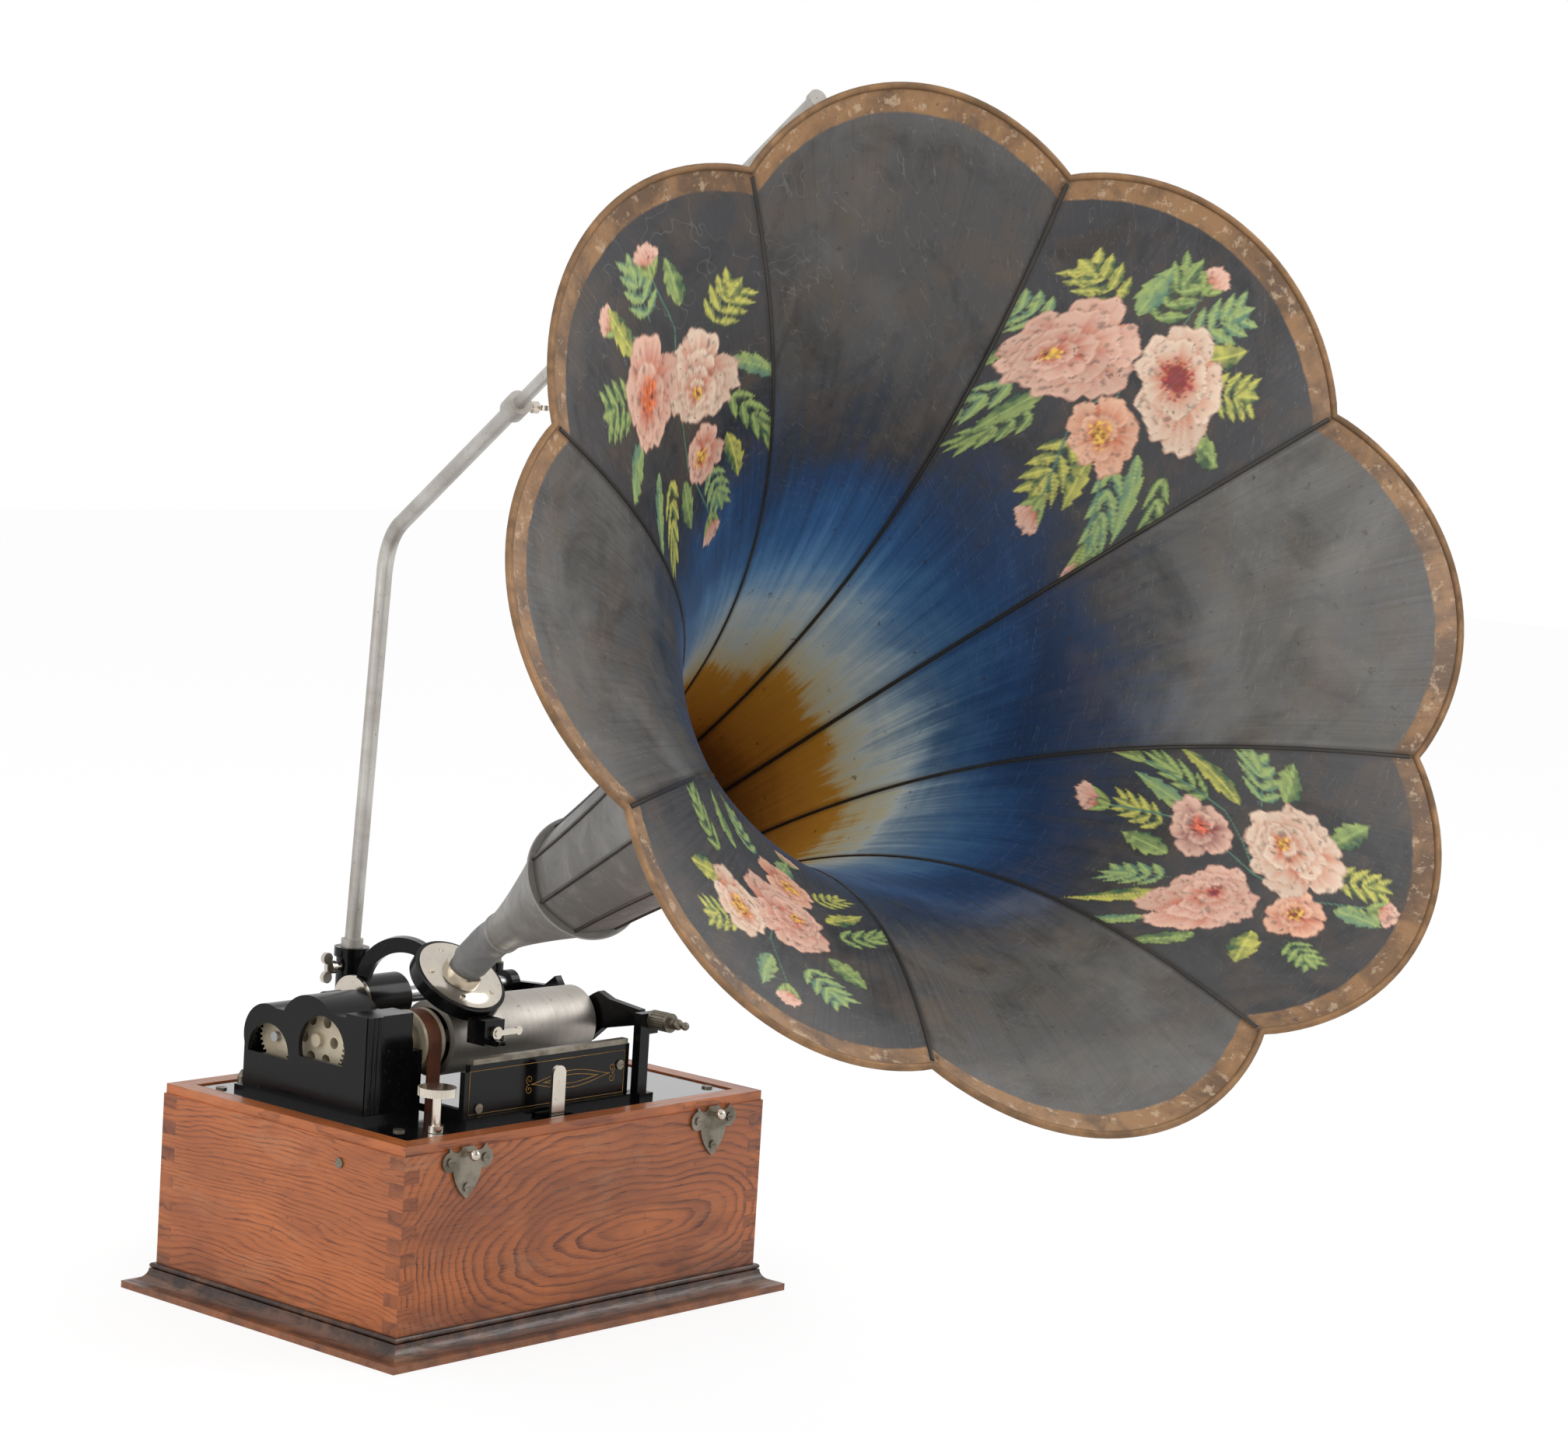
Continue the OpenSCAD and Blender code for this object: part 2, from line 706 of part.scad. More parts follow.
module mandrel_pulley() {
  color(nickel) {
    on_x(pulley_x0, mandrel_y, mandrel_z) {
      difference() {
        union() {
          cylinder(r = flange_r, h = flange_t);
          cylinder(r = pulley_r, h = pulley_x1 - pulley_x0);
          translate([0, 0, pulley_w + flange_t]) cylinder(r = flange_r, h = flange_t);
        }
        for (z = [-1, pulley_x1 - pulley_x0 - 3]) {
          translate([0, 0, z]) difference() {
            cylinder(r = pulley_r - 3, h = 4);
            translate([0, 0, -1]) cylinder(r = shaft_r + 3, h = 6);
          }
        }
      }
    }
    on_x(gear_x1, mandrel_y, mandrel_z) cylinder(r = shaft_r, h = mandrel_x1 - 0.4 - gear_x1);
    on_x(mandrel_x0 - 4, mandrel_y, mandrel_z) cylinder(r = shaft_r + 3, h = 4);
    on_x(gear_x0 - 3, mandrel_y, mandrel_z) cylinder(r = shaft_r - 1, h = gear_w + 4);
  }
}

idler_turn = mesh_turn(0, 0, pinion_n, idler_n);
feed_way = atan2(feed_z - idler_z, feed_y - idler_y);
feed_turn = mesh_turn(feed_way, idler_turn, idler_n, feed_n);

module mandrel_pinion() {
  color(steel) on_x(gear_x0, mandrel_y, mandrel_z) gear(pinion_n, gear_w, shaft_r - 1);
}

module idler_gear() {
  color(brass) {
    on_x(gear_x0, idler_y, idler_z) {
      difference() {
        gear(idler_n, gear_w, shaft_r - e, idler_turn);
        for (a = [0:60:300]) {
          rotate(a) translate([13, 0, -1]) cylinder(r = 3.4, h = gear_w + 2);
        }
      }
      translate([0, 0, -3]) cylinder(r = shaft_r, h = cover_x1 + 3 - gear_x0 + 3);
      translate([0, 0, gear_w - e]) cylinder(r = shaft_r + 3, h = 4);
    }
  }
}

module feed_gear() {
  color(brass) on_x(gear_x0, feed_y, feed_z) {
    gear(feed_n, gear_w, shaft_r - 1, feed_turn);
    difference() {
      translate([0, 0, gear_w - e]) cylinder(r = shaft_r + 4, h = 4);
      translate([0, 0, gear_w - 1]) cylinder(r = shaft_r - 1, h = 6);
    }
  }
}

module feed_screw() {
  x0 = frame_x1 + 9;
  x1 = gate_x0 - 12;
  turns = 44;
  color(steel) {
    on_x(gear_x0 - 3, feed_y, feed_z) cylinder(r = shaft_r - 1, h = gear_w + 8);
    on_x(gear_x1 + 4.5, feed_y, feed_z) cylinder(r = shaft_r, h = gate_x0 - 5 - gear_x1 - 4.5);
    on_x(x0, feed_y, feed_z) difference() {
      cylinder(r = screw_r, h = x1 - x0);
      for (i = [1:turns - 1]) {
        translate([0, 0, i * (x1 - x0) / turns]) rotate_extrude()
          polygon([[screw_r + 1, -1], [screw_r + 1, 1], [screw_r - 0.45, 0]]);
      }
    }
  }
}

module belt_loop(r) {
  circle(r = r, $fn = 72);
  translate([0, drive_z - mandrel_z]) circle(r = r, $fn = 72);
  translate([-r, drive_z - mandrel_z]) square([2 * r, mandrel_z - drive_z]);
}

module drive_belt() {
  color(leather) on_x(belt_x - belt_w / 2, mandrel_y, mandrel_z) linear_extrude(belt_w) difference() {
    belt_loop(pulley_r + 0.1 + belt_t);
    belt_loop(pulley_r + 0.1);
  }
}

// End gate

module gate_outline() {
  ear = 19;
  polygon(concat(
    [
      [post_y1 + 3.3, stud_z - 5], [post_y1 + 3.3, stud_z + 4.5], [mandrel_y - ear - 10, mandrel_z + 17],
      [mandrel_y - ear, mandrel_z + 20.5]
    ],
    [for (i = [0:8]) [mandrel_y - 15 + i * 3.75, mandrel_z + 13 + 5.5 * pow((i - 4) / 4, 2)]],
    [
      [mandrel_y + ear, mandrel_z + 24], [mandrel_y + ear + 9, mandrel_z + 17], [hinge_y - 12, stud_z + 4.5],
      [hinge_y - 12, stud_z - 12], [mandrel_y + 18, mandrel_z - 14], [mandrel_y - 12, mandrel_z - 12],
      [mandrel_y - 24, mandrel_z - 2]
    ]
  ));
}

module end_gate() {
  low = stud_z - 37.6;
  color(japan) difference() {
    union() {
      on_x(gate_x0, 0, 0) linear_extrude(gate_t) {
        gate_outline();
        translate([hinge_y - 20, low + 1]) square([14, stud_z - low + 3]);
        translate([hinge_y - 12, stud_z - 12]) square([10, 16.5]);
        translate([hinge_y - 12, low + 1]) square([10, 12]);
      }
      translate([gate_mid, hinge_y, low]) cylinder(r = 5.5, h = stud_z + 7.6 - low);
      on_x(gate_x0 - 1, mandrel_y, mandrel_z) cylinder(r = 9, h = gate_t + 5);
      on_y(gate_mid, post_y1 + 4, stud_z) cylinder(r = stud_r, h = 24);
    }
    translate([gate_mid, hinge_y, low - 1]) cylinder(r = hinge_r, h = 60);
    on_x(gate_x0 - 3, mandrel_y, mandrel_z) cylinder(r = 3, h = 20);
  }
}

module gate_centre() {
  color(nickel) {
    on_x(mandrel_x1 + 1.2, mandrel_y, mandrel_z) {
      cylinder(r1 = 0.6, r2 = 3, h = 2.4);
      translate([0, 0, 2.4 - e]) cylinder(r = 3, h = 14);
      translate([0, 0, 13]) cylinder(r = 6, h = 3);
      translate([0, 0, 16 - e]) cylinder(r = 2.2, h = 6);
    }
    translate([gate_mid, hinge_y, stud_z - 46]) cylinder(r = hinge_r, h = 60);
    translate([gate_mid, hinge_y, stud_z + 14]) cylinder(r = 4.5, h = 2.5);
  }
}

module gate_latch() {
  color(nickel) on_y(gate_mid, post_y0 - 0.4, stud_z) difference() {
    union() {
      cylinder(r = 6, h = 15);
      translate([0, 0, 15 - e]) cylinder(r = 3.4, h = 4);
      translate([0, 0, 20.5]) sphere(r = 3.4);
      translate([0, 0, 22]) cylinder(r = 1.6, h = 3);
      translate([0, 0, 26.6]) sphere(r = 2.6);
    }
    translate([0, 0, -1]) cylinder(r = stud_r + run, h = 15.2);
    for (a = [0:20:340]) {
      rotate(a) translate([6, 0, 2]) cylinder(r = 0.5, h = 11, $fn = 16);
    }
  }
}

// Controls

module start_lever() {
  y = lever_y - 1.1;
  color(nickel) {
    translate([lever_x - 5.4, y, bed_top - 17]) cube([10.8, 2.2, 42]);
    on_y(lever_x, y + 2.2, bed_top + 25) cylinder(r = 5.4, h = 2.2);
    on_y(lever_x, lever_y + 6, bed_top - 12) cylinder(r = 2.2, h = 7);
  }
}

module speed_screw() {
  color(nickel) translate([speed_x, speed_y, bed_top]) {
    translate([0, 0, -bed_t - 10]) cylinder(r = 2.8, h = bed_t + 34);
    translate([0, 0, 0.3]) cylinder(r = 4.6, h = 4);
    difference() {
      translate([0, 0, 22]) cylinder(r = 11.4, h = 5);
      for (a = [0:12:348]) {
        rotate(a) translate([11.6, 0, 21]) cylinder(r = 0.7, h = 7, $fn = 16);
      }
    }
  }
}

// Carriage

module carriage_bush() {
  color(nickel) on_x(sleeve_x0 - 3, rod_y, rod_z) difference() {
    union() {
      cylinder(r = bush_r, h = sleeve_l + 6);
      cylinder(r = sleeve_r + 0.8, h = 2.7);
      translate([0, 0, sleeve_l + 3.3]) cylinder(r = bush_r + 2.5, h = 2.7);
    }
    translate([0, 0, -1]) cylinder(r = rod_r + run, h = sleeve_l + 8);
  }
}

arm_root = [sleeve_x0 + 6, rod_y - 2];
arm_foot = [ring_x, ring_y + ring_r * cos(tilt)];
arm_reach = norm(arm_foot - arm_root);
arm_turn = atan2(arm_foot[1] - arm_root[1], arm_foot[0] - arm_root[0]);
arm_w = 8.5;
nut_y = feed_y - screw_r - 2;

// Arch of the arm, outwards from the sleeve and up from the guide rod
module arm_outline() {
  difference() {
    translate([arm_reach * 0.58, 14]) circle(r = 27.5, $fn = 72);
    translate([arm_reach * 0.62, 10]) circle(r = 22.5, $fn = 72);
    translate([-20, -40]) square([100, 49]);
    translate([arm_reach + 0.5, -40]) square([40, 100]);
  }
}

module carriage_arm() {
  color(japan) difference() {
    union() {
      on_x(sleeve_x0 + e, rod_y, rod_z) cylinder(r = sleeve_r, h = sleeve_l - 2 * e);
      on_ring() translate([0, 0, -ring_t / 2]) cylinder(r = ring_r, h = ring_t, $fn = 96);
      translate([arm_root[0], arm_root[1], rod_z]) rotate([90, 0, arm_turn])
        translate([0, 0, -arm_w / 2]) linear_extrude(arm_w) arm_outline();
      translate([ring_x - 12, rod_y - 2, rod_z - 24]) cube([14, nut_y - rod_y + 2, 14]);
    }
    on_x(sleeve_x0 - 1, rod_y, rod_z) cylinder(r = bush_r + run, h = sleeve_l + 2);
    on_ring() translate([0, 0, -ring_t]) cylinder(r = ring_in, h = 2 * ring_t + 10, $fn = 96);
  }
}

module half_nut() {
  w = 12;
  color(brass) difference() {
    translate([ring_x - 5 - w / 2, nut_y, feed_z - 5]) cube([w, feed_y - nut_y, 9.5]);
    on_x(ring_x - 20, feed_y, feed_z) cylinder(r = screw_r + 0.3, h = 40);
  }
}

foot_x = ring_x - 6;
foot_y = plate_y + 1;

module guide_foot() {
  reach = ring_c - (ring_r - 2) * tip_e;
  color(japan) {
    difference() {
      translate([foot_x - 8, plate_y + 8, edge_top + 4.5]) cube([16, 15, 15]);
      on_ring() translate([0, 0, -30]) cylinder(r = ring_r + 0.05, h = 60, $fn = 96);
      on_y(foot_x, 0, edge_top + 12) cylinder(r = 2.2 + run, h = 100);
    }
    translate([foot_x - 3, foot_y, edge_top + 4.5]) cube([6, 8, 3.4]);
    translate([foot_x, foot_y, edge_top + 3.7]) sphere(r = 3.4);
  }
}

module lift_lever() {
  color(nickel) {
    on_y(foot_x, plate_y + 20, edge_top + 12) cylinder(r = 2.2, h = 15.5);
    on_y(foot_x, plate_y + 7.6, edge_top + 12) linear_extrude(2.4) {
      circle(r = 4);
      translate([0, -1.6]) square([18, 3.2]);
      translate([18, 0]) circle(r = 2.6);
    }
  }
}

// Reproducer

module reproducer_body() {
  color(nickel) on_ring() difference() {
    union() {
      translate([0, 0, -ring_t / 2]) cylinder(r = ring_in - 0.1, h = 9);
      translate([0, 0, 5 - e]) cylinder(r1 = ring_in - 2, r2 = ring_in - 8, h = 2);
      cylinder(r = 12.5, h = 12);
      translate([0, 0, 4.1]) cylinder(r = ring_in + 2, h = 0.9);
      for (a = [20:72:308]) {
        rotate(a) translate([ring_in - 4.5, 0, 5 - e]) cylinder(r = 1.7, h = 1.6);
      }
    }
    translate([0, 0, -ring_t / 2 - 1]) cylinder(r = 20, h = 6);
    translate([0, 0, -1]) cylinder(r = 5, h = 20);
    translate([0, 0, ball_up]) sphere(r = ball_r + run + 0.01);
  }
}

module diaphragm() {
  color("ivory") on_ring() translate([0, 0, 0.2]) cylinder(r = 19.8, h = 0.5);
}

weight_y = 19;

module reproducer_weight() {
  color(nickel) on_ring() {
    difference() {
      translate([0, 0, -ring_t / 2 - 3.3]) cylinder(r = 23, h = 2.9);
      translate([-30, weight_y - 1, -12]) cube([60, 20, 12]);
      translate([-3, -23, -12]) cube([6, 22, 12]);
    }
  }
}

module stylus_bar() {
  color(steel) on_ring() {
    translate([-1.4, -19, -ring_t / 2 - 3.5]) cube([2.8, 14, 1.4]);
    translate([0, -12.5, -ring_t / 2 - 4.1]) sphere(r = 0.8);
    translate([0, -6, -ring_t / 2 - 2.2]) cylinder(r = 0.5, h = 5.4);
    translate([-2.9, -18, -ring_t / 2 - 3.2]) cube([5.8, 2, 1]);
  }
}

// Horn

elbow_turn = 30;
elbow_mid = horn_small + 2 * horn_dir;
elbow_in = unit(elbow_mid - pivot);
elbow_a = acos(elbow_in * horn_dir);
elbow_back = elbow_turn * tan(elbow_a / 2);
elbow_side = unit(horn_dir - (horn_dir * elbow_in) * elbow_in);
elbow_axis = cross(-elbow_side, elbow_in);
spigot_r = small_r - 1.4;

module elbow_bend(r) {
  translate(elbow_mid - elbow_back * elbow_in + elbow_turn * elbow_side)
    rotate([
      atan2(elbow_in[2], elbow_axis[2]), -asin(-elbow_side[2]), atan2(-elbow_side[1], -elbow_side[0])
    ]) rotate_extrude(angle = elbow_a, $fn = 96) translate([elbow_turn, 0]) circle(r = r, $fn = 48);
}

module horn_elbow() {
  color("dimgray") difference() {
    union() {
      translate(pivot) sphere(r = ball_r);
      bar(pivot + 3.5 * elbow_in, elbow_mid - (elbow_back - 0.6) * elbow_in, elbow_r);
      elbow_bend(elbow_r + 0.12);
      bar(elbow_mid + (elbow_back - 0.6) * horn_dir, elbow_mid + 16 * horn_dir, elbow_r);
    }
    bar(pivot - 12 * elbow_in, elbow_mid - (elbow_back - 0.6) * elbow_in, 5.4);
    elbow_bend(5.5);
    bar(elbow_mid + (elbow_back - 0.6) * horn_dir, elbow_mid + 8 * horn_dir, 5.4);
    bar(elbow_mid + 7.9 * horn_dir, elbow_mid + 20 * horn_dir, spigot_r);
  }
}

// Plain cone from the elbow to the seam ring, its spigot inside the elbow
module horn_neck() {
  start = -horn_l + 20.2;
  long = neck_l - 27.5;
  wide = 31.6 - small_r;
  color(horn_grey) in_horn() rotate_extrude($fn = 96) polygon(concat(
    [[spigot_r - 0.9, start - 8], [spigot_r, start - 8], [spigot_r, start]],
    [[small_r + 1.7, start], [small_r + 1.7, start + 2.5], [small_r + 0.9, start + 3.5]],
    [for (i = [1:7]) let(t = i / 7) [small_r + 0.9 + wide * pow(t, 1.2), start + 3.5 + (long - 5) * t]],
    [[36, -ring_d - 2.4], [36.6, -ring_d - 1.2], [36, -ring_d - 0.1], [29.6, -ring_d - 0.1], [29.6, -ring_d - 5]],
    [for (i = [6:-1:1]) let(t = i / 7) [small_r + wide * pow(t, 1.2), start + 3.5 + (long - 5) * t]],
    [[small_r, start + 3.5], [spigot_r - 0.9, start + 2.5]]
  ));
}

across = 8;
down = 18;

// One petal, its middle on the local X axis
module petal() {
  row = across + 1;
  half = row * (down + 1);
  pts = [
    for (out = [0, sheet], j = [0:down], i = [0:across]) petal_p(-1 + 2 * i / across, j / down, out)
  ];
  skin = [
    for (j = [0:down - 1], i = [0:across - 1])
      let(a = j * row + i, b = a + 1, c = a + row, d = c + 1)
      each [[a, b, d], [a, d, c], [half + a, half + d, half + b], [half + a, half + c, half + d]]
  ];
  ends = [
    for (i = [0:across - 1])
      let(a = i, b = i + 1, c = down * row + i, d = c + 1)
      each [[a, half + a, half + b], [a, half + b, b], [c, d, half + d], [c, half + d, half + c]]
  ];
  sides = [
    for (j = [0:down - 1])
      let(a = j * row, b = a + row, c = a + across, d = c + row)
      each [[a, b, half + b], [a, half + b, half + a], [c, half + c, half + d], [c, half + d, d]]
  ];
  polyhedron(points = pts, faces = concat(skin, ends, sides), convexity = 6);
}

module petal_set(first) {
  color(horn_grey) in_horn() {
    for (k = [first:2:petals - 1]) {
      rotate(horn_roll + (k + 0.5) * petal_a) petal();
    }
  }
}

module horn_petals_painted() {
  petal_set(0);
}

module horn_petals_plain() {
  petal_set(1);
}

rim_steps = 10;
rim_sides = 6;

// Wired edge, swept round the lobes
module horn_rim() {
  count = petals * rim_steps;
  pts = [
    for (i = [0:count - 1])
      let(
        k = floor(i / rim_steps),
        s = -1 + 2 * (i % rim_steps) / rim_steps,
        p = petal_p(s, 0, sheet / 2, rim_r + 0.5),
        turn = horn_roll + (k + 0.5) * petal_a,
        r = norm([p[0], p[1]]),
        a = turn + atan2(p[1], p[0])
      )
      for (j = [0:rim_sides - 1])
        let(b = j * 360 / rim_sides)
        [(r + rim_r * cos(b)) * cos(a), (r + rim_r * cos(b)) * sin(a), p[2] + rim_r * sin(b)]
  ];
  faces = [
    for (i = [0:count - 1], j = [0:rim_sides - 1])
      let(
        n = (i + 1) % count,
        m = (j + 1) % rim_sides,
        a = i * rim_sides + j,
        b = i * rim_sides + m,
        c = n * rim_sides + j,
        d = n * rim_sides + m
      )
      each [[a, b, d], [a, d, c]]
  ];
  color(brass) in_horn() polyhedron(points = pts, faces = faces, convexity = 6);
  color(nickel) in_horn() rotate(eye_turn) translate([eye_r, 0, eye_z]) {
    rotate([90, 0, 0]) link(4.2, 1.1);
    rotate([0, atan2(1, -flare_s(eye_d)), 0]) translate([0, 0, -eye_out + 0.5]) cylinder(r = 5, h = 1);
  }
}

eye_k = sqrt(1 + pow(flare_s(eye_d), 2));
eye_out = 6.2;
eye_r = flare_r(eye_d) * (1 + grow(eye_d)) + (sheet + eye_out) / eye_k;
eye_z = -eye_d - (sheet + eye_out) * flare_s(eye_d) / eye_k;
horn_w = [sin(horn_az) * sin(horn_el), cos(horn_az) * sin(horn_el), cos(horn_el)];
horn_u = [cos(horn_az), -sin(horn_az), 0];
eye_p = bell_c + eye_z * horn_dir - eye_r * (cos(eye_turn) * horn_w - sin(eye_turn) * horn_u);
hook_p = crane_tip - hook_back * slide_dir + hook_drop * drop_dir;
ring_top = hook_p - 0.55 * hook_len * slide_dir;
ring_mid = ring_top + (ring_link_r - ring_wire - hook_r - ring_play) * drop_dir;
chain_top = ring_mid + (ring_link_r + 0.7) * drop_dir;
chain_dir = unit(eye_p - chain_top);
chain_l = norm(eye_p - chain_top) - 4.8;
links = 2 * floor(chain_l / link_pitch / 2) + 2;
chain_step = chain_l / (links - 1);

module link(r, wire) {
  rotate_extrude($fn = 32) translate([r, 0]) circle(r = wire, $fn = 16);
}

module horn_chain() {
  color(nickel) {
    along(ring_mid, slide_dir) link(ring_link_r, ring_wire);
    for (i = [0:links - 1]) {
      along(chain_top + i * chain_step * chain_dir, chain_dir)
        rotate([90, 0, i % 2 == 0 ? 0 : 90]) link(link_r, link_wire);
    }
  }
}

// Crane

function bracket_z(i) = body_top - 42 + i * 30;

module crane_bracket() {
  plate_w = 42;
  low = body_top - 50;
  color("gray") difference() {
    union() {
      translate([socket_x - plate_w / 2, half_d, low]) cube([plate_w, 4, 46]);
      translate([socket_x - 5, half_d + e, low + 4]) cube([10, socket_y - half_d, 38]);
      translate([socket_x, socket_y, low + 8]) cylinder(r = socket_r, h = socket_top - low - 8);
      translate([socket_x, socket_y, socket_top - 6]) cylinder(r = socket_r + 1.6, h = 6);
    }
    translate([socket_x, socket_y, low + 12]) cylinder(r = tube_r + run, h = 200);
    translate([socket_x, socket_y, socket_top - 12]) rotate([0, -90, 0]) cylinder(r = 2.5 + run, h = 30);
    for (z = [0, 1], x = [-1, 1]) {
      on_y(socket_x + x * 15, half_d + 5, bracket_z(z)) cylinder(r = 2, h = 8);
    }
  }
}

tube_foot = [socket_x, socket_y, socket_top];
lean_dir = unit(bend_p - tube_foot);
bend_a = acos(lean_dir * slide_dir);
bend_r = 36;
bend_back = bend_r * tan(bend_a / 2);
bend_start = bend_p - bend_back * lean_dir;
bend_in = unit(slide_dir - (slide_dir * lean_dir) * lean_dir);
bend_axis = cross(-bend_in, lean_dir);

// Tube with one round bend, held upright in its socket and leaning above the collar
module crane_tube() {
  color("silver") difference() {
    union() {
      translate([socket_x, socket_y, body_top - 38]) cylinder(r = tube_r, h = socket_top - body_top + 40);
      translate(tube_foot) cylinder(r = tube_r + 2, h = 5);
      along(tube_foot + 2.5 * lean_dir, lean_dir) rotate(70)
        cylinder(r = tube_r, h = norm(bend_start - tube_foot) - 1);
      translate(bend_start + bend_r * bend_in)
        rotate([
          atan2(lean_dir[2], bend_axis[2]), -asin(-bend_in[2]), atan2(-bend_in[1], -bend_in[0])
        ]) rotate_extrude(angle = bend_a, $fn = 96) translate([bend_r, 0]) circle(r = tube_r + 0.12);
      bar(bend_p + (bend_back - 1.5) * slide_dir, tube_end, tube_r);
      bar(tube_end - 9 * slide_dir, tube_end + 3 * slide_dir, tube_r + 2.6);
    }
    bar(tube_end - 130 * slide_dir, tube_end + 10 * slide_dir, slide_r + run);
    bar(tube_end - 3 * slide_dir, tube_end - 3 * slide_dir - 20 * side_dir, 2 + run);
  }
}

module crane_rod() {
  color("silver") {
    bar(tube_end - 125 * slide_dir, crane_tip, slide_r);
    bar(crane_tip - e * slide_dir, crane_tip + 4 * slide_dir, 5);
    bar(crane_tip - hook_back * slide_dir, hook_p, hook_r);
    bar(hook_p, hook_p - hook_len * slide_dir, hook_r);
    translate(hook_p) sphere(r = hook_r + 0.5);
  }
}

module thumbscrew(r, l, head) {
  cylinder(r = r, h = l);
  translate([0, 0, l - 3]) cylinder(r = r + 1.6, h = 4);
  translate([-head, -1.5, l + 1 - e]) cube([2 * head, 3, 3]);
  for (s = [-1, 1]) {
    translate([s * head, 1.5, l + 3.5]) rotate([90, 0, 0]) cylinder(r = head * 0.62, h = 3);
  }
}

module tube_thumbscrew() {
  start = tube_end - 3 * slide_dir - (slide_r + 0.3) * side_dir;
  color(nickel) along(start, -side_dir) rotate(90) thumbscrew(2, 9, 5);
}

module socket_thumbscrew() {
  color(nickel) translate([socket_x - tube_r - 0.3, socket_y, socket_top - 12]) rotate([0, -90, 0])
    thumbscrew(2.5, 12, 6);
}

// Motor

module motor_plate(x) {
  bores = [
    [mandrel_y, drive_z, 3], [centre_y, centre_z, 3], [barrel_y, barrel_z, wind_r], [gov_y, gov_z, 2.5]
  ];
  difference() {
    on_x(x, 0, 0) linear_extrude(motor_t) polygon([
      [gov_y - 18, gov_z - 24], [barrel_y - 30, 26], [barrel_y + 38, 26], [barrel_y + 38, body_top],
      [barrel_y + 14, body_top], [barrel_y + 8, body_top - 12], [mandrel_y + 32, body_top - 12],
      [mandrel_y + 26, body_top], [gov_y - 18, body_top]
    ]);
    for (b = bores) {
      on_x(x - 1, b[0], b[1]) cylinder(r = b[2] + run, h = motor_t + 2);
    }
  }
}

module motor_frame() {
  color(steel) {
    motor_plate(motor_x0);
    motor_plate(motor_x1 - motor_t);
    for (p = [[gov_y - 12, gov_z - 18], [gov_y - 12, body_top - 10], [barrel_y + 32, 32], [barrel_y + 32, body_top - 8]]) {
      on_x(motor_x0 + motor_t, p[0], p[1]) cylinder(r = 4, h = motor_x1 - motor_x0 - 2 * motor_t);
    }
  }
}

centre_turn = mesh_turn(-centre_a, 0, drive_n, centre_n);
barrel_turn = mesh_turn(0, 0, drive_n, barrel_n);
gov_turn = mesh_turn(gov_a, 0, gov_n, drive_n);
wind_turn = mesh_turn(180, 0, wind_gear_n, wind_n);

module spring_barrel() {
  color(brass) on_x(-42, barrel_y, barrel_z) {
    difference() {
      union() {
        gear(barrel_n, 5, wind_r + run, barrel_turn);
        translate([0, 0, 5 - e]) cylinder(r = barrel_r, h = 35);
      }
      translate([0, 0, 7]) cylinder(r = barrel_r - 2, h = 31);
      translate([0, 0, -1]) cylinder(r = wind_r + run, h = 60);
    }
  }
}

module mainspring() {
  turns = 5;
  steps = 24;
  r0 = wind_r + 3.5;
  r1 = barrel_r - 3.2;
  n = turns * steps;
  color("slategray") on_x(-33, barrel_y, barrel_z) linear_extrude(25) polygon(concat(
    [for (i = [0:n]) let(r = r0 + (r1 - r0) * i / n) [r * cos(i * 360 / steps), r * sin(i * 360 / steps)]],
    [for (i = [n:-1:0]) let(r = r0 + 0.8 + (r1 - r0) * i / n) [r * cos(i * 360 / steps), r * sin(i * 360 / steps)]]
  ));
}

module winding_arbor() {
  color(steel) on_x(motor_x0 - 1, barrel_y, barrel_z) {
    cylinder(r = wind_r, h = motor_x1 - motor_x0 + 14);
    translate([0, 0, motor_x1 - motor_x0 + 4]) gear(wind_gear_n, 6, wind_r - e);
  }
}

module centre_gear() {
  color(brass) {
    on_x(motor_x0 - 1, centre_y, centre_z) cylinder(r = 3, h = motor_x1 - motor_x0 + 2);
    on_x(-43, centre_y, centre_z) gear(drive_n, 7, 3 - e);
    on_x(-52, centre_y, centre_z) gear(centre_n, 5, 3 - e, centre_turn);
  }
}

module motor_pulley() {
  color(steel) {
    on_x(pulley_x0, mandrel_y, drive_z) {
      cylinder(r = flange_r, h = flange_t);
      cylinder(r = pulley_r, h = pulley_x1 - pulley_x0);
      translate([0, 0, pulley_w + flange_t]) cylinder(r = flange_r, h = flange_t);
    }
    on_x(motor_x0 - 1, mandrel_y, drive_z) cylinder(r = 3, h = motor_x1 - motor_x0 + 2);
    on_x(-53, mandrel_y, drive_z) gear(drive_n, 7, 3 - e);
    on_x(-84, mandrel_y, drive_z) gear(gov_n, 5, 3 - e);
  }
}

module governor() {
  color(brass) {
    on_x(motor_x0 - 1, gov_y, gov_z) cylinder(r = 2.5, h = motor_x1 - motor_x0 + 2);
    on_x(-85, gov_y, gov_z) gear(drive_n, 7, 2.5 - e, gov_turn);
    on_x(-44, gov_y, gov_z) {
      cylinder(r = 13, h = 2.5);
      translate([0, 0, 2.4]) cylinder(r = 5, h = 6);
      translate([0, 0, 34]) cylinder(r = 5, h = 6);
      for (a = [0:120:240]) {
        rotate(a) {
          translate([8, 0, 21]) sphere(r = 4.4);
          translate([3.6, -1.6, 5]) cube([0.6, 3.2, 32]);
          translate([3.6, -1.6, 19]) cube([3, 3.2, 4]);
        }
      }
    }
  }
}

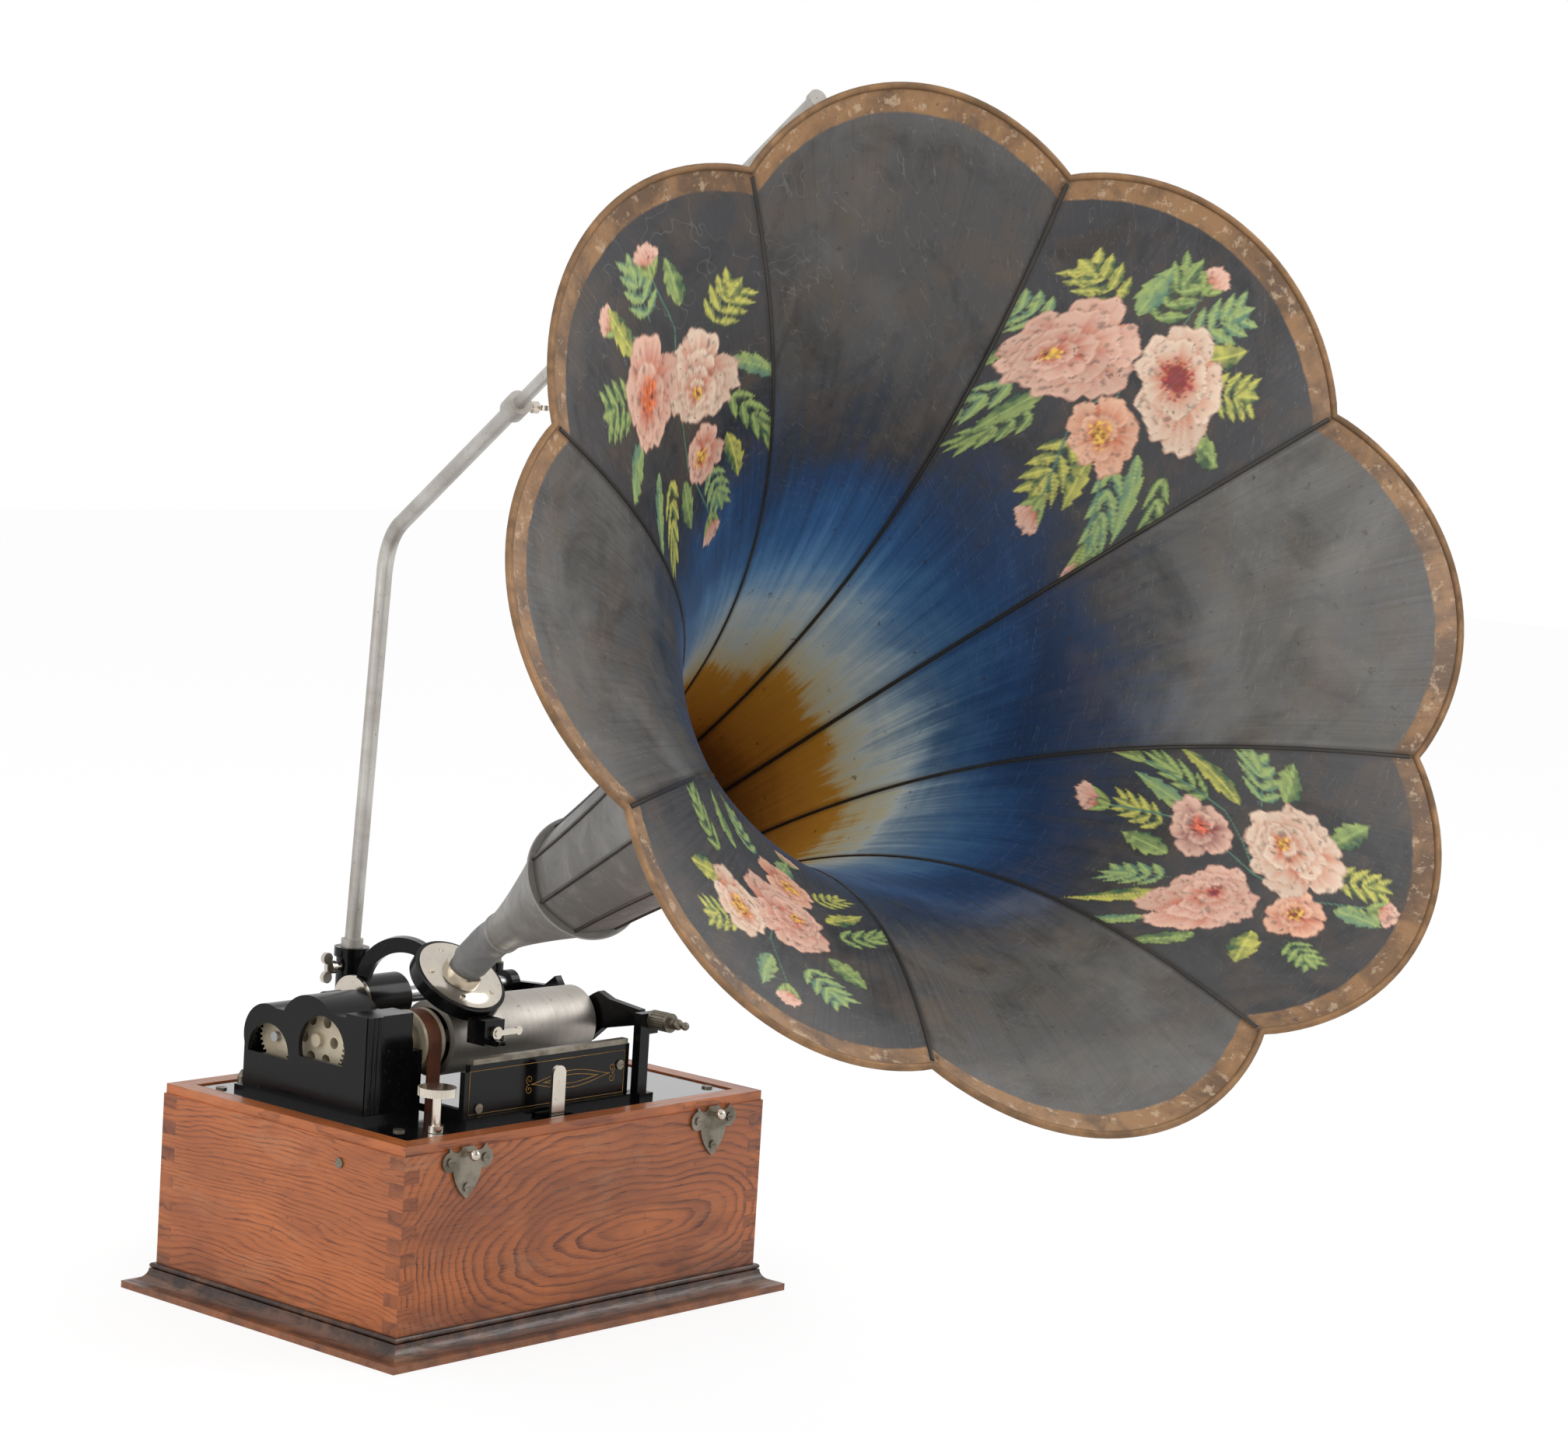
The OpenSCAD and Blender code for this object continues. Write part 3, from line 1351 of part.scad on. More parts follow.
// Crank

module crank() {
  color("gray") {
    on_x(motor_x1 + 3, wind_y, wind_z) {
      gear(wind_n, 6, wind_r - e, wind_turn);
      translate([0, 0, 0]) cylinder(r = wind_r, h = crank_x + 7 - motor_x1 - 3);
    }
    on_x(crank_x, wind_y, wind_z) {
      cylinder(r = 9, h = 7);
      translate([0, -4.5, 0]) cube([crank_l, 9, 6]);
      translate([crank_l, 0, 0]) cylinder(r = 6.5, h = 6);
      translate([crank_l, 0, 5]) cylinder(r = 3, h = handle_l + 5);
      translate([crank_l, 0, handle_l + 8]) cylinder(r = 4.5, h = 2);
    }
  }
}

module crank_handle() {
  color(dark_wood) on_x(crank_x + 7, wind_y + crank_l, wind_z) difference() {
    rotate_extrude() polygon([
      [0, 0], [6, 0], [7, 3], [6.4, 8], [8.4, handle_l * 0.35], [9.6, handle_l * 0.6], [9, handle_l * 0.85],
      [6.4, handle_l - 1.5], [5, handle_l], [0, handle_l]
    ]);
    translate([0, 0, -1]) cylinder(r = 3 + run, h = handle_l + 2);
  }
}

case_front();
case_back();
case_left();
case_right();
case_bottom();
base_moulding();
bed_frame();
case_plates();
clasp_studs();
case_screws();
bedplate();
gear_cover();
gear_frame();
front_plate();
straight_edge();
gate_post();
back_post();
back_rod();
belt_guide();
mandrel();
mandrel_pulley();
mandrel_pinion();
idler_gear();
feed_gear();
feed_screw();
drive_belt();
end_gate();
gate_centre();
gate_latch();
start_lever();
speed_screw();
carriage_bush();
carriage_arm();
half_nut();
guide_foot();
lift_lever();
reproducer_body();
diaphragm();
reproducer_weight();
stylus_bar();
horn_elbow();
horn_neck();
horn_petals_painted();
horn_petals_plain();
horn_rim();
horn_chain();
crane_bracket();
crane_tube();
crane_rod();
tube_thumbscrew();
socket_thumbscrew();
motor_frame();
spring_barrel();
mainspring();
winding_arbor();
centre_gear();
motor_pulley();
governor();
crank();
crank_handle();
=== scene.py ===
"""Finishes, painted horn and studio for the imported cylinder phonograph."""

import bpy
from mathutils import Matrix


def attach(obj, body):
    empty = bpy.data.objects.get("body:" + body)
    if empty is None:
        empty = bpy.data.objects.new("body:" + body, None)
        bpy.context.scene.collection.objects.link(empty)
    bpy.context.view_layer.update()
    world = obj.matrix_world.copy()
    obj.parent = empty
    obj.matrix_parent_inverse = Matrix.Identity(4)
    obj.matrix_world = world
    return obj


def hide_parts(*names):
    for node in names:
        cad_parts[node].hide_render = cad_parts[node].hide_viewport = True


bl_info = {
    "name": "Cylinder phonograph",
    "version": (1, 0, 0),
    "blender": (4, 5, 0),
    "location": "3D View > Sidebar > Phonograph",
    "description": "Painted horn, wood and metal finishes and studio for a cylinder phonograph",
    "category": "Object",
}

import math

import bpy
import numpy as np
from mathutils import Matrix, Vector

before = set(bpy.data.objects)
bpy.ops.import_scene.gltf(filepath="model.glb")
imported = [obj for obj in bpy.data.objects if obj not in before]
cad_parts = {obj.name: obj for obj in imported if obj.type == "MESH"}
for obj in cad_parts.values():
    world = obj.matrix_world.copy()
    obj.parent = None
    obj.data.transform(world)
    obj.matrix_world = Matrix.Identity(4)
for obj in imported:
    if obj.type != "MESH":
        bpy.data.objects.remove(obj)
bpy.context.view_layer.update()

# Sizes shared with the solids, in metres
CASE_HALF_WIDTH = 0.1525
CASE_HALF_DEPTH = 0.106
MANDREL_HEIGHT = 0.1648
RING_CENTRE = Vector((-0.0387, -0.024, MANDREL_HEIGHT + 0.0349))
RING_TILT = math.radians(36)
BALL_REACH = 0.014
SMALL_END = Vector((0.0002, -0.0168, 0.0163))
HORN_ELEVATION = math.radians(24.85)
HORN_AZIMUTH = math.radians(20.23)
HORN_LENGTH = 0.6145
HORN_ROLL = math.radians(25.5)
NECK_LENGTH = 0.1405
PETALS = 8
GROW_RIM = 0.035
GROW_NECK = -0.04
GROW_SPAN = 0.150
EYE_DEPTH, EYE_STAND, EYE_REACH, EYE_WIRE = 0.098, 0.0062, 0.0042, 0.0011
EYE_FOOT = (0.0057, 0.0047)
EYE_FOOT_RADIUS = 0.005
EYE_PETAL = 3
PLATE_LEFT = -0.077
PLATE_RIGHT = 0.062
PLATE_FACE = -0.0741

# Gold line on the front plate, in metres
LINE_INSET = 0.004
LINE_LOW, LINE_HIGH = 0.1305, 0.1565
LINE_RADIUS = 0.00022
LEAF_X, LEAF_Z = 0.012, 0.1435
LEAF_HALF_LENGTH = 0.034
LEAVES = ((LEAF_HALF_LENGTH, 0.0052), (0.024, 0.0026))
REEL_START, REEL_END, REEL_TURNS, REEL_GAP, REEL_RISE = 0.0030, 0.0006, 1.3, 0.0012, 0.0030

# Faces of a petal across and along: the painted ones carry their flowers as colours at their points
PAINTED_GRID, PLAIN_GRID = (168, 250), (32, 90)

# Depth behind the rim at which the inside paint's colour ramp ends, in metres
PAINT_REACH = 0.48

# Camera fitted to the photo: place in metres, turns in radians
CAMERA_PLACE = (-1.7091331, -1.7330849, 0.6203364)
CAMERA_TURN, CAMERA_TILT, CAMERA_ROLL = -0.8519086950, 1.4664489159, 0.0611144776

# Half the side of the floor, in metres
FLOOR_HALF = 6.0

# Angle above which an edge of a solid is shaded as a corner
CORNER = math.radians(28)

ORIGIN = (0.0, 0.0, 0.0)
FLOAT, COLOUR, VECTOR = "NodeSocketFloat", "NodeSocketColor", "NodeSocketVector"
GEOMETRY, WHOLE, MATERIAL = "NodeSocketGeometry", "NodeSocketInt", "NodeSocketMaterial"


def linear(red, green, blue):
    """Linear colour of three display values from 0 to 255."""
    return tuple(
        v / 255 / 12.92 if v < 11 else ((v / 255 + 0.055) / 1.055) ** 2.4 for v in (red, green, blue)
    )


def opaque(colour):
    return (*colour[:3], 1.0)


def dimmed(colour, share):
    return [v * share for v in colour]


def colour_setting(name, description, red, green, blue):
    return bpy.props.FloatVectorProperty(
        name=name, description=description, subtype="COLOR", size=3, min=0, max=1,
        default=linear(red, green, blue),
    )


def length_setting(name, description, metres):
    return bpy.props.FloatProperty(
        name=name, description=description, subtype="DISTANCE", unit="LENGTH", default=metres, precision=5,
    )


class HornSettings(bpy.types.PropertyGroup):
    """Sizes and paint of the horn."""

    seam_radius: length_setting("Seam radius", "Radius of the bell at its seams", 0.2333)
    neck_radius: length_setting("Neck radius", "Radius that the flare tends to", 0.026)
    flare: length_setting("Flare", "Distance over which the flare grows", 0.138)
    lobe: length_setting("Lobe", "How far each lobe stands forward", 0.010)
    sheet: length_setting("Sheet", "Thickness of the sheet metal", 0.0006)
    rim_wire: length_setting("Rim wire", "Radius of the wired edge", 0.0018)
    seam_bead: length_setting("Seam bead", "Radius of the folded seams", 0.0013)
    band: length_setting("Band", "Width of the gold band along the rim", 0.0115)
    charcoal: colour_setting("Charcoal", "Paint near the rim", 86, 84, 81)
    blue: colour_setting("Blue", "Brightest blue of the bell", 98, 148, 194)
    gold: colour_setting("Gold", "Paint of the throat", 206, 148, 52)
    rim_gold: colour_setting("Rim gold", "Paint of the band along the rim", 152, 114, 76)
    outside: colour_setting("Outside", "Paint on the back of the horn", 128, 125, 121)


class CaseSettings(bpy.types.PropertyGroup):
    """Colours of the wood."""

    oak_light: colour_setting("Light oak", "Lightest tone of the case boards", 210, 118, 56)
    oak_dark: colour_setting("Dark oak", "Darkest lines of the grain", 104, 44, 16)
    base_light: colour_setting("Light base", "Lightest tone of the base moulding", 124, 82, 60)
    base_dark: colour_setting("Dark base", "Darkest tone of the base moulding", 62, 40, 30)


class MetalSettings(bpy.types.PropertyGroup):
    """Colours of the metal, leather and rubber."""

    japan: colour_setting("Japan", "Black enamel of the castings", 10, 10, 12)
    nickel: colour_setting("Nickel", "Polished nickel plate", 226, 217, 203)
    steel: colour_setting("Steel", "Turned steel", 176, 176, 178)
    brass: colour_setting("Brass", "Gears and the half nut", 196, 178, 140)
    crane: colour_setting("Crane", "Dull nickel of the crane", 206, 202, 196)
    leather: colour_setting("Leather", "Drive belt", 122, 70, 46)
    rubber: colour_setting("Rubber", "Elbow under the horn", 134, 133, 132)


class StageSettings(bpy.types.PropertyGroup):
    """Camera and light."""

    lens: bpy.props.FloatProperty(
        name="Lens", description="Focal length on a 36 mm sensor, in millimetres", default=92.304
    )
    key: bpy.props.FloatProperty(name="Key light", description="Power of the key light", subtype="POWER",
                                 unit="POWER", default=26.0)
    fill: bpy.props.FloatProperty(name="Fill light", description="Power of the fill light", subtype="POWER",
                                  unit="POWER", default=12.0)
    air: bpy.props.FloatProperty(name="Surroundings", description="Strength of the white surroundings",
                                 default=0.62)


class Net:
    """Adds nodes to one node tree. A value may be a socket, which is linked, or a plain value."""

    def __init__(self, tree):
        self.tree = tree

    def set(self, socket, value):
        if isinstance(value, bpy.types.NodeSocket):
            self.tree.links.new(value, socket)
        elif socket.type == "RGBA":
            socket.default_value = opaque(value)
        else:
            socket.default_value = value

    def fill(self, sockets, values):
        for name, value in values.items():
            self.set(sockets[name], value)

    def node(self, kind, inputs=None, **settings):
        """A new node with its settings, and its inputs linked or set by name or number."""
        made = self.tree.nodes.new(kind)
        for name, value in settings.items():
            setattr(made, name, value)
        self.fill(made.inputs, inputs or {})
        return made

    def maths(self, operation, first, second=0.0, clamp=False):
        made = self.node("ShaderNodeMath", {0: first, 1: second}, operation=operation, use_clamp=clamp)
        return made.outputs[0]

    def plus(self, first, second):
        return self.maths("ADD", first, second)

    def less(self, first, second):
        return self.maths("SUBTRACT", first, second)

    def times(self, first, second):
        return self.maths("MULTIPLY", first, second)

    def sway(self, value, amount):
        """Noise about its middle, times an amount."""
        return self.times(self.less(value, 0.5), amount)

    def remap(self, value, low, high, to_low=0.0, to_high=1.0, smooth=False):
        """Value taken from one range to another, held at both ends."""
        return self.node(
            "ShaderNodeMapRange",
            {"Value": value, "From Min": low, "From Max": high, "To Min": to_low, "To Max": to_high},
            interpolation_type="SMOOTHSTEP" if smooth else "LINEAR",
        ).outputs["Result"]

    def mix(self, share, first, second, mode="MIX"):
        """Two colours mixed by a share or a mask."""
        made = self.node("ShaderNodeMix", {0: share, 6: first, 7: second}, data_type="RGBA", blend_type=mode)
        return made.outputs[2]

    def layers(self, body, rows):
        """A colour with others laid over it in turn, each by its mask and, where named, its mode."""
        for mask, colour, *mode in rows:
            body = self.mix(mask, body, colour, *mode)
        return body

    def ramp(self, value, stops):
        """Colour ramp from (position, colour) pairs."""
        made = self.node("ShaderNodeValToRGB", {0: value})
        elements = made.color_ramp.elements
        while len(elements) < len(stops):
            elements.new(0.5)
        for element, (place, colour) in zip(elements, stops):
            element.position = place
            element.color = opaque(colour)
        return made.outputs[0]

    def noise(self, vector, scale, detail=4.0, rough=0.55, warp=0.0):
        values = {"Vector": vector, "Scale": scale, "Detail": detail, "Roughness": rough, "Distortion": warp}
        return self.node("ShaderNodeTexNoise", values).outputs["Fac"]

    def stretched(self, vector, factors, offset=ORIGIN, turn=ORIGIN):
        values = {"Vector": vector, "Scale": factors, "Location": offset, "Rotation": turn}
        return self.node("ShaderNodeMapping", values).outputs[0]

    def split(self, vector):
        return self.node("ShaderNodeSeparateXYZ", {0: vector}).outputs

    def place(self):
        """Coordinates of the object, which are those of the row frame."""
        return self.node("ShaderNodeTexCoord").outputs["Object"]

    def group(self, name, inputs):
        """Outputs of a shader group."""
        return self.node("ShaderNodeGroup", inputs, node_tree=group_named(name)).outputs

    def wear(self, clouds, scratches):
        """Masks and height of a handled surface, from the scales of its clouds and scratches."""
        return self.group(
            "Handling wear", {"Vector": self.place(), "Cloud scale": clouds, "Scratch scale": scratches}
        )

    def bump(self, shader, height, distance, strength):
        made = self.node("ShaderNodeBump", {"Height": height, "Distance": distance, "Strength": strength})
        self.set(shader.inputs["Normal"], made.outputs[0])


def new_group(name, kind, inputs, outputs):
    """Node group with named sockets: its net, what comes in and what goes out."""
    tree = bpy.data.node_groups.new(name, kind)
    for label, socket_type, *default in inputs:
        socket = tree.interface.new_socket(label, in_out="INPUT", socket_type=socket_type)
        if default:
            socket.default_value = default[0]
    for label, socket_type in outputs:
        tree.interface.new_socket(label, in_out="OUTPUT", socket_type=socket_type)
    return Net(tree), tree.nodes.new("NodeGroupInput").outputs, tree.nodes.new("NodeGroupOutput").inputs


def group_named(name):
    """A node group, made when it is first asked for."""
    return bpy.data.node_groups.get(name) or GROUPS[name]()


def grain_group():
    """Flat-sawn oak: closed ovals and long lines along X, open pores and a slow change of tone."""
    net, start, end = new_group(
        "Oak grain", "ShaderNodeTree",
        [("Vector", VECTOR), ("Ring width", FLOAT, 0.0045), ("Curve", FLOAT, 2.2), ("Depth", FLOAT, 0.004),
         ("Light", COLOUR), ("Dark", COLOUR)],
        [("Color", COLOUR), ("Roughness", FLOAT), ("Height", FLOAT)],
    )
    place, light, dark = start["Vector"], start["Light"], start["Dark"]

    def field(along, across, offset, *shape):
        return net.noise(net.stretched(place, (along, across, across), offset), 1.0, *shape)

    slow = field(5.0, 16.0, ORIGIN, 3.0)
    slower = field(7.0, 7.0, (3.1, 1.7, 0.4), 2.0)
    fine = field(26.0, 150.0, ORIGIN, 4.0)
    pores = field(45.0, 1300.0, ORIGIN, 2.0, 0.7)
    flame = field(14.0, 60.0, (0.7, 0.2, 0.9), 3.0)
    broad = field(6.0, 22.0, ORIGIN, 4.0)
    stain = field(9.0, 15.0, (5.2, 2.3, 1.1), 5.0, 0.6, 0.8)
    rubbed = field(11.0, 34.0, (1.9, 7.7, 4.2), 6.0, 0.7, 0.5)
    parts = net.split(place)
    along = net.plus(parts[0], net.sway(slower, 0.06))
    side = net.plus(parts[1], net.sway(slow, 0.045))
    deep = net.plus(net.times(net.times(along, along), start["Curve"]), start["Depth"])
    radius = net.maths("SQRT", net.plus(net.times(side, side), net.times(deep, deep)))
    rings = net.maths("DIVIDE", net.plus(radius, net.times(fine, 0.0032)), start["Ring width"])
    turn = net.maths("FRACT", rings)
    late = net.times(net.remap(turn, 0.42, 0.9, smooth=True), net.remap(turn, 1.0, 0.93, smooth=True))
    open_pore = net.times(net.remap(pores, 0.52, 0.68), net.remap(late, 0.0, 1.0, 0.3, 1.0))
    each = net.node("ShaderNodeTexWhiteNoise", {"W": net.maths("FLOOR", rings)}, noise_dimensions="1D")
    tone = net.times(late, net.remap(flame, 0.3, 0.66, 0.30, 1.0))
    tone = net.times(tone, net.remap(each.outputs["Value"], 0.0, 1.0, 0.35, 1.0))
    body = net.layers(net.mix(tone, light, dark), [
        (net.remap(broad, 0.38, 0.7, 0.0, 0.42), dark),
        (net.remap(stain, 0.46, 0.72, 0.0, 0.6), dark),
        (net.remap(rubbed, 0.54, 0.74, 0.0, 0.38), linear(214, 164, 122)),
        (net.times(open_pore, 0.75), dark, "MULTIPLY"),
    ])
    net.fill(end, {
        "Color": body,
        "Roughness": net.remap(net.plus(tone, open_pore), 0.0, 1.5, 0.30, 0.50),
        "Height": net.times(open_pore, -1.0),
    })
    return net.tree


def wear_group():
    """Handled surface: clouds, pinholes and hair scratches as masks, and a height."""
    net, start, end = new_group(
        "Handling wear", "ShaderNodeTree",
        [("Vector", VECTOR), ("Cloud scale", FLOAT, 20.0), ("Scratch scale", FLOAT, 120.0)],
        [("Clouds", FLOAT), ("Specks", FLOAT), ("Scratches", FLOAT), ("Height", FLOAT)],
    )
    place = start["Vector"]
    clouds = net.noise(place, start["Cloud scale"], 6.0, 0.6, 0.4)
    speck = net.noise(place, net.times(start["Cloud scale"], 14.0), 3.0, 0.6)
    slanted = net.stretched(place, (1.0, 9.0, 1.0), ORIGIN, (0.4, 0.3, 0.8))
    hairs = net.noise(slanted, start["Scratch scale"], 2.0, 0.5)
    net.fill(end, {
        "Clouds": net.remap(clouds, 0.36, 0.64),
        "Specks": net.remap(speck, 0.66, 0.72),
        "Scratches": net.remap(net.maths("ABSOLUTE", net.less(hairs, 0.5)), 0.006, 0.0),
        "Height": net.plus(clouds, net.times(speck, 0.25)),
    })
    return net.tree


def new_material(name):
    """Empty material with its shader joined to the output: material, net and shader."""
    material = bpy.data.materials.new(name)
    material.use_nodes = True
    net = Net(material.node_tree)
    net.tree.nodes.clear()
    shader = net.node("ShaderNodeBsdfPrincipled")
    net.node("ShaderNodeOutputMaterial", {0: shader.outputs[0]})
    return material, net, shader


def past_case(net):
    """How far a point stands out of the case's sides, across and along."""
    x, y, _ = net.split(net.place())
    return (
        net.less(net.maths("ABSOLUTE", x), CASE_HALF_WIDTH),
        net.less(net.maths("ABSOLUTE", y), CASE_HALF_DEPTH),
    )


def board_place(net, axes, middle, mitred):
    """Board coordinates: length, width and depth picked from the axes, about the board's middle.

    With mitred, the members that run along Y are turned to run along X."""
    xyz = net.split(net.place())
    picked = [xyz[axis] for axis in axes]
    if mitred:
        side = net.maths("GREATER_THAN", *past_case(net))
        ways = (xyz[0], xyz[1]), (xyz[1], xyz[0])
        picked = [net.plus(net.times(a, net.less(1.0, side)), net.times(b, side)) for a, b in ways]
        picked.append(xyz[2])
    moved = {i: net.less(part, middle[i]) for i, part in enumerate(picked)}
    return net.node("ShaderNodeCombineXYZ", moved).outputs[0]


def edge_wear_and_cove_shade(net, low, high):
    """Mask of a band of the base, from its distance outside the case: its outer edge for wear, and the cove
    by the case for painted shade.
    """
    rough = net.sway(net.noise(net.place(), 42.0, 6.0, 0.7), 0.03)
    return net.remap(net.plus(net.maths("MAXIMUM", *past_case(net)), rough), low, high)


def oak_material(name, light, dark, axes, middle, ring_width=0.0045, curve=2.2, depth=0.004,
                 end_axis=None, mitred=False, worn=None):
    """Varnished oak. axes lays the board's length, width and depth; end_axis is that of its sawn ends."""
    material, net, shader = new_material(name)
    wood = net.group("Oak grain", {
        "Vector": board_place(net, axes, middle, mitred), "Ring width": ring_width, "Curve": curve,
        "Depth": depth, "Light": light, "Dark": dark,
    })
    marks = net.wear(12.0, 60.0)
    body = wood["Color"]
    if end_axis is not None:
        normal = net.split(net.node("ShaderNodeNewGeometry").outputs["Normal"])[end_axis]
        sawn = net.remap(net.maths("ABSOLUTE", normal), 0.7, 0.9)
        specks = net.remap(net.noise(net.place(), 900.0, 2.0, 0.6), 0.4, 0.6)
        low = net.remap(net.split(net.place())[2], 0.034, 0.018)
        body = net.layers(body, [
            (net.times(sawn, 0.36), net.mix(specks, dark, dimmed(dark, 0.5))),
            (net.times(low, net.remap(marks["Clouds"], 0.0, 1.0, 0.08, 0.4)), dimmed(dark, 0.6)),
        ])
    if worn is not None:
        body = net.layers(body, [
            (edge_wear_and_cove_shade(net, 0.0095, 0.0185), worn),
            # Dark band in the cove where the moulding meets the case: painted shade
            (edge_wear_and_cove_shade(net, 0.0055, 0.001), dimmed(dark, 0.7)),
        ])
    body = net.layers(body, [
        (net.times(marks["Clouds"], 0.25), dark, "MULTIPLY"),
        (net.times(marks["Specks"], 0.35), dimmed(dark, 0.3)),
    ])
    net.fill(shader.inputs, {
        "Base Color": body, "Roughness": wood["Roughness"], "Coat Weight": 0.25, "Coat Roughness": 0.22,
    })
    net.bump(shader, wood["Height"], 0.0004, 0.5)
    return material


def metal_material(name, colour, roughness, metallic=1.0, tarnish=(90, 78, 62), tarnished=0.25,
                   clouds=30.0, brushed=None):
    """Metal with cloudy tarnish and fine marks; brushed gives the stretch of its turning marks."""
    material, net, shader = new_material(name)
    marks = net.wear(clouds, 260.0)
    height = marks["Height"]
    body = net.layers(colour, [
        (net.times(marks["Clouds"], tarnished), linear(*tarnish)),
        (net.times(marks["Specks"], 0.5), linear(58, 46, 36)),
    ])
    if brushed:
        rings = net.noise(net.stretched(net.place(), brushed), 1.0, 3.0, 0.7)
        height = net.plus(net.times(height, 0.3), rings)
        body = net.mix(net.remap(rings, 0.35, 0.7, 0.0, 0.35), body, dimmed(colour, 0.62))
    rough = net.remap(marks["Clouds"], 0.0, 1.0, roughness * 0.8, roughness * 1.35)
    rough = net.maths("ADD", rough, net.times(marks["Scratches"], 0.12), True)
    net.fill(shader.inputs, {"Base Color": body, "Roughness": rough, "Metallic": metallic})
    net.bump(shader, height, 0.0001, 0.35)
    return material


def enamel_material(name, colour, dust=(96, 92, 86), roughness=0.16, gloss=0.25, coat=0.0, coat_ior=1.5):
    """Glossy black enamel with dust and rubbed patches."""
    material, net, shader = new_material(name)
    marks = net.wear(24.0, 180.0)
    net.fill(shader.inputs, {
        "Base Color": net.layers(colour, [
            (net.times(marks[mask], share), linear(*dust))
            for mask, share in (("Clouds", 0.03), ("Specks", 0.22), ("Scratches", 0.10))
        ]),
        "Roughness": net.remap(marks["Clouds"], 0.0, 1.0, roughness * 0.8, roughness * 1.6),
        "Specular IOR Level": gloss, "Coat Weight": coat, "Coat Roughness": 0.04, "Coat IOR": coat_ior,
    })
    net.bump(shader, marks["Height"], 0.0002, 0.3)
    return material


def soft_material(name, colour, shade, roughness, pores, depth):
    """Leather or rubber: darker folds and a fine pore pattern."""
    material, net, shader = new_material(name)
    marks = net.wear(60.0, 300.0)
    net.fill(shader.inputs, {
        "Base Color": net.layers(colour, [
            (net.times(marks["Clouds"], 0.6), shade),
            (net.times(marks["Specks"], 0.4), dimmed(shade, 0.4)),
        ]),
        "Roughness": net.remap(marks["Clouds"], 0.0, 1.0, roughness * 0.85, roughness * 1.15),
    })
    cells = net.node("ShaderNodeTexVoronoi", {"Vector": net.place(), "Scale": pores})
    net.bump(shader, cells.outputs["Distance"], depth, 0.4)
    return material


def horn_axes():
    """Bell centre, and the horn's own X, Y and Z in the row frame."""
    level, up = math.cos(HORN_ELEVATION), math.sin(HORN_ELEVATION)
    left, front = -math.sin(HORN_AZIMUTH), -math.cos(HORN_AZIMUTH)
    ahead = Vector((left * level, front * level, up))
    down = Vector((left * up, front * up, -level))
    right = Vector((-front, left, 0))
    pivot = RING_CENTRE + BALL_REACH * Vector((0, -math.sin(RING_TILT), math.cos(RING_TILT)))
    return pivot + SMALL_END + HORN_LENGTH * ahead, down, right, ahead


def to_row(points):
    """Points of the horn's own frame, in the row frame."""
    centre, x, y, z = horn_axes()
    turn = np.array([x, y, z])
    return np.asarray(points) @ turn + np.array(centre)


def flare_at(horn, depth):
    """Radius and slope of the bell at a depth behind the rim plane."""
    swell = (horn.seam_radius - horn.neck_radius) * np.exp(-depth / horn.flare)
    return horn.neck_radius + swell, swell / horn.flare


def petal_grid(horn, across, along, out=0.0, past=0.0):
    """Points of one petal about local X, for across from -1 to 1 and along from rim 0 to neck 1."""
    s, t = np.meshgrid(across, along)
    depth = -horn.lobe * (1 - s * s) * (1 - t) ** 2 + (HORN_LENGTH - NECK_LENGTH) * t ** 1.5
    radius, slope = flare_at(horn, depth)
    lean = np.sqrt(1 + slope * slope)
    grow = GROW_NECK + (GROW_RIM - GROW_NECK) * np.exp(-np.maximum(depth, 0) / GROW_SPAN)
    radius = radius * (1 + grow * (1 - s * s)) + out / lean + past * slope / lean
    angle = s * math.pi / PETALS
    height = -depth - out * slope / lean + past / lean
    return np.stack([radius * np.cos(angle), radius * np.sin(angle), height], -1), depth


def turned(points, angle):
    c, s = math.cos(angle), math.sin(angle)
    x, y, z = np.moveaxis(points, -1, 0)
    return np.stack([c * x - s * y, s * x + c * y, z], -1)


def petal_angle(k):
    return HORN_ROLL + (k + 0.5) * 2 * math.pi / PETALS


def new_object(name, vertices, faces, materials, smooth=True):
    """Mesh object at the origin, linked to the scene."""
    mesh = bpy.data.meshes.new(name)
    mesh.from_pydata([tuple(v) for v in vertices], [], faces)
    for material in materials:
        mesh.materials.append(material)
    mesh.validate()
    if smooth:
        mesh.shade_smooth()
    made = bpy.data.objects.new(name, mesh)
    bpy.context.scene.collection.objects.link(made)
    return made


def grid_faces(rows, columns, first=0, flip=False):
    row = columns + 1
    a = np.arange(rows)[:, None] * row + np.arange(columns)[None, :] + first
    quads = np.stack([a, a + 1, a + row + 1, a + row], -1).reshape(-1, 4)
    return quads[:, ::-1] if flip else quads


def smooth_step(value, low, high):
    t = np.clip((value - low) / (high - low), 0, 1)
    return t * t * (3 - 2 * t)


def value_noise(x, y, seed):
    """Smooth noise from 0 to 1 on a plane, the same each run."""
    def corner(i, j):
        h = np.sin(i * 127.1 + j * 311.7 + seed * 74.7) * 43758.5453
        return h - np.floor(h)

    i, j = np.floor(x), np.floor(y)
    u, v = x - i, y - j
    u, v = u * u * (3 - 2 * u), v * v * (3 - 2 * v)
    low = corner(i, j) * (1 - u) + corner(i + 1, j) * u
    high = corner(i, j + 1) * (1 - u) + corner(i + 1, j + 1) * u
    return low * (1 - v) + high * v


def between(low, high, tone):
    """Colours from low to high by a tone at each point."""
    return np.asarray(low) * (1 - tone[..., None]) + np.asarray(high) * tone[..., None]


def lightened(colour, gain, lift=0.0):
    return np.minimum(np.asarray(colour) * gain + lift, 1)


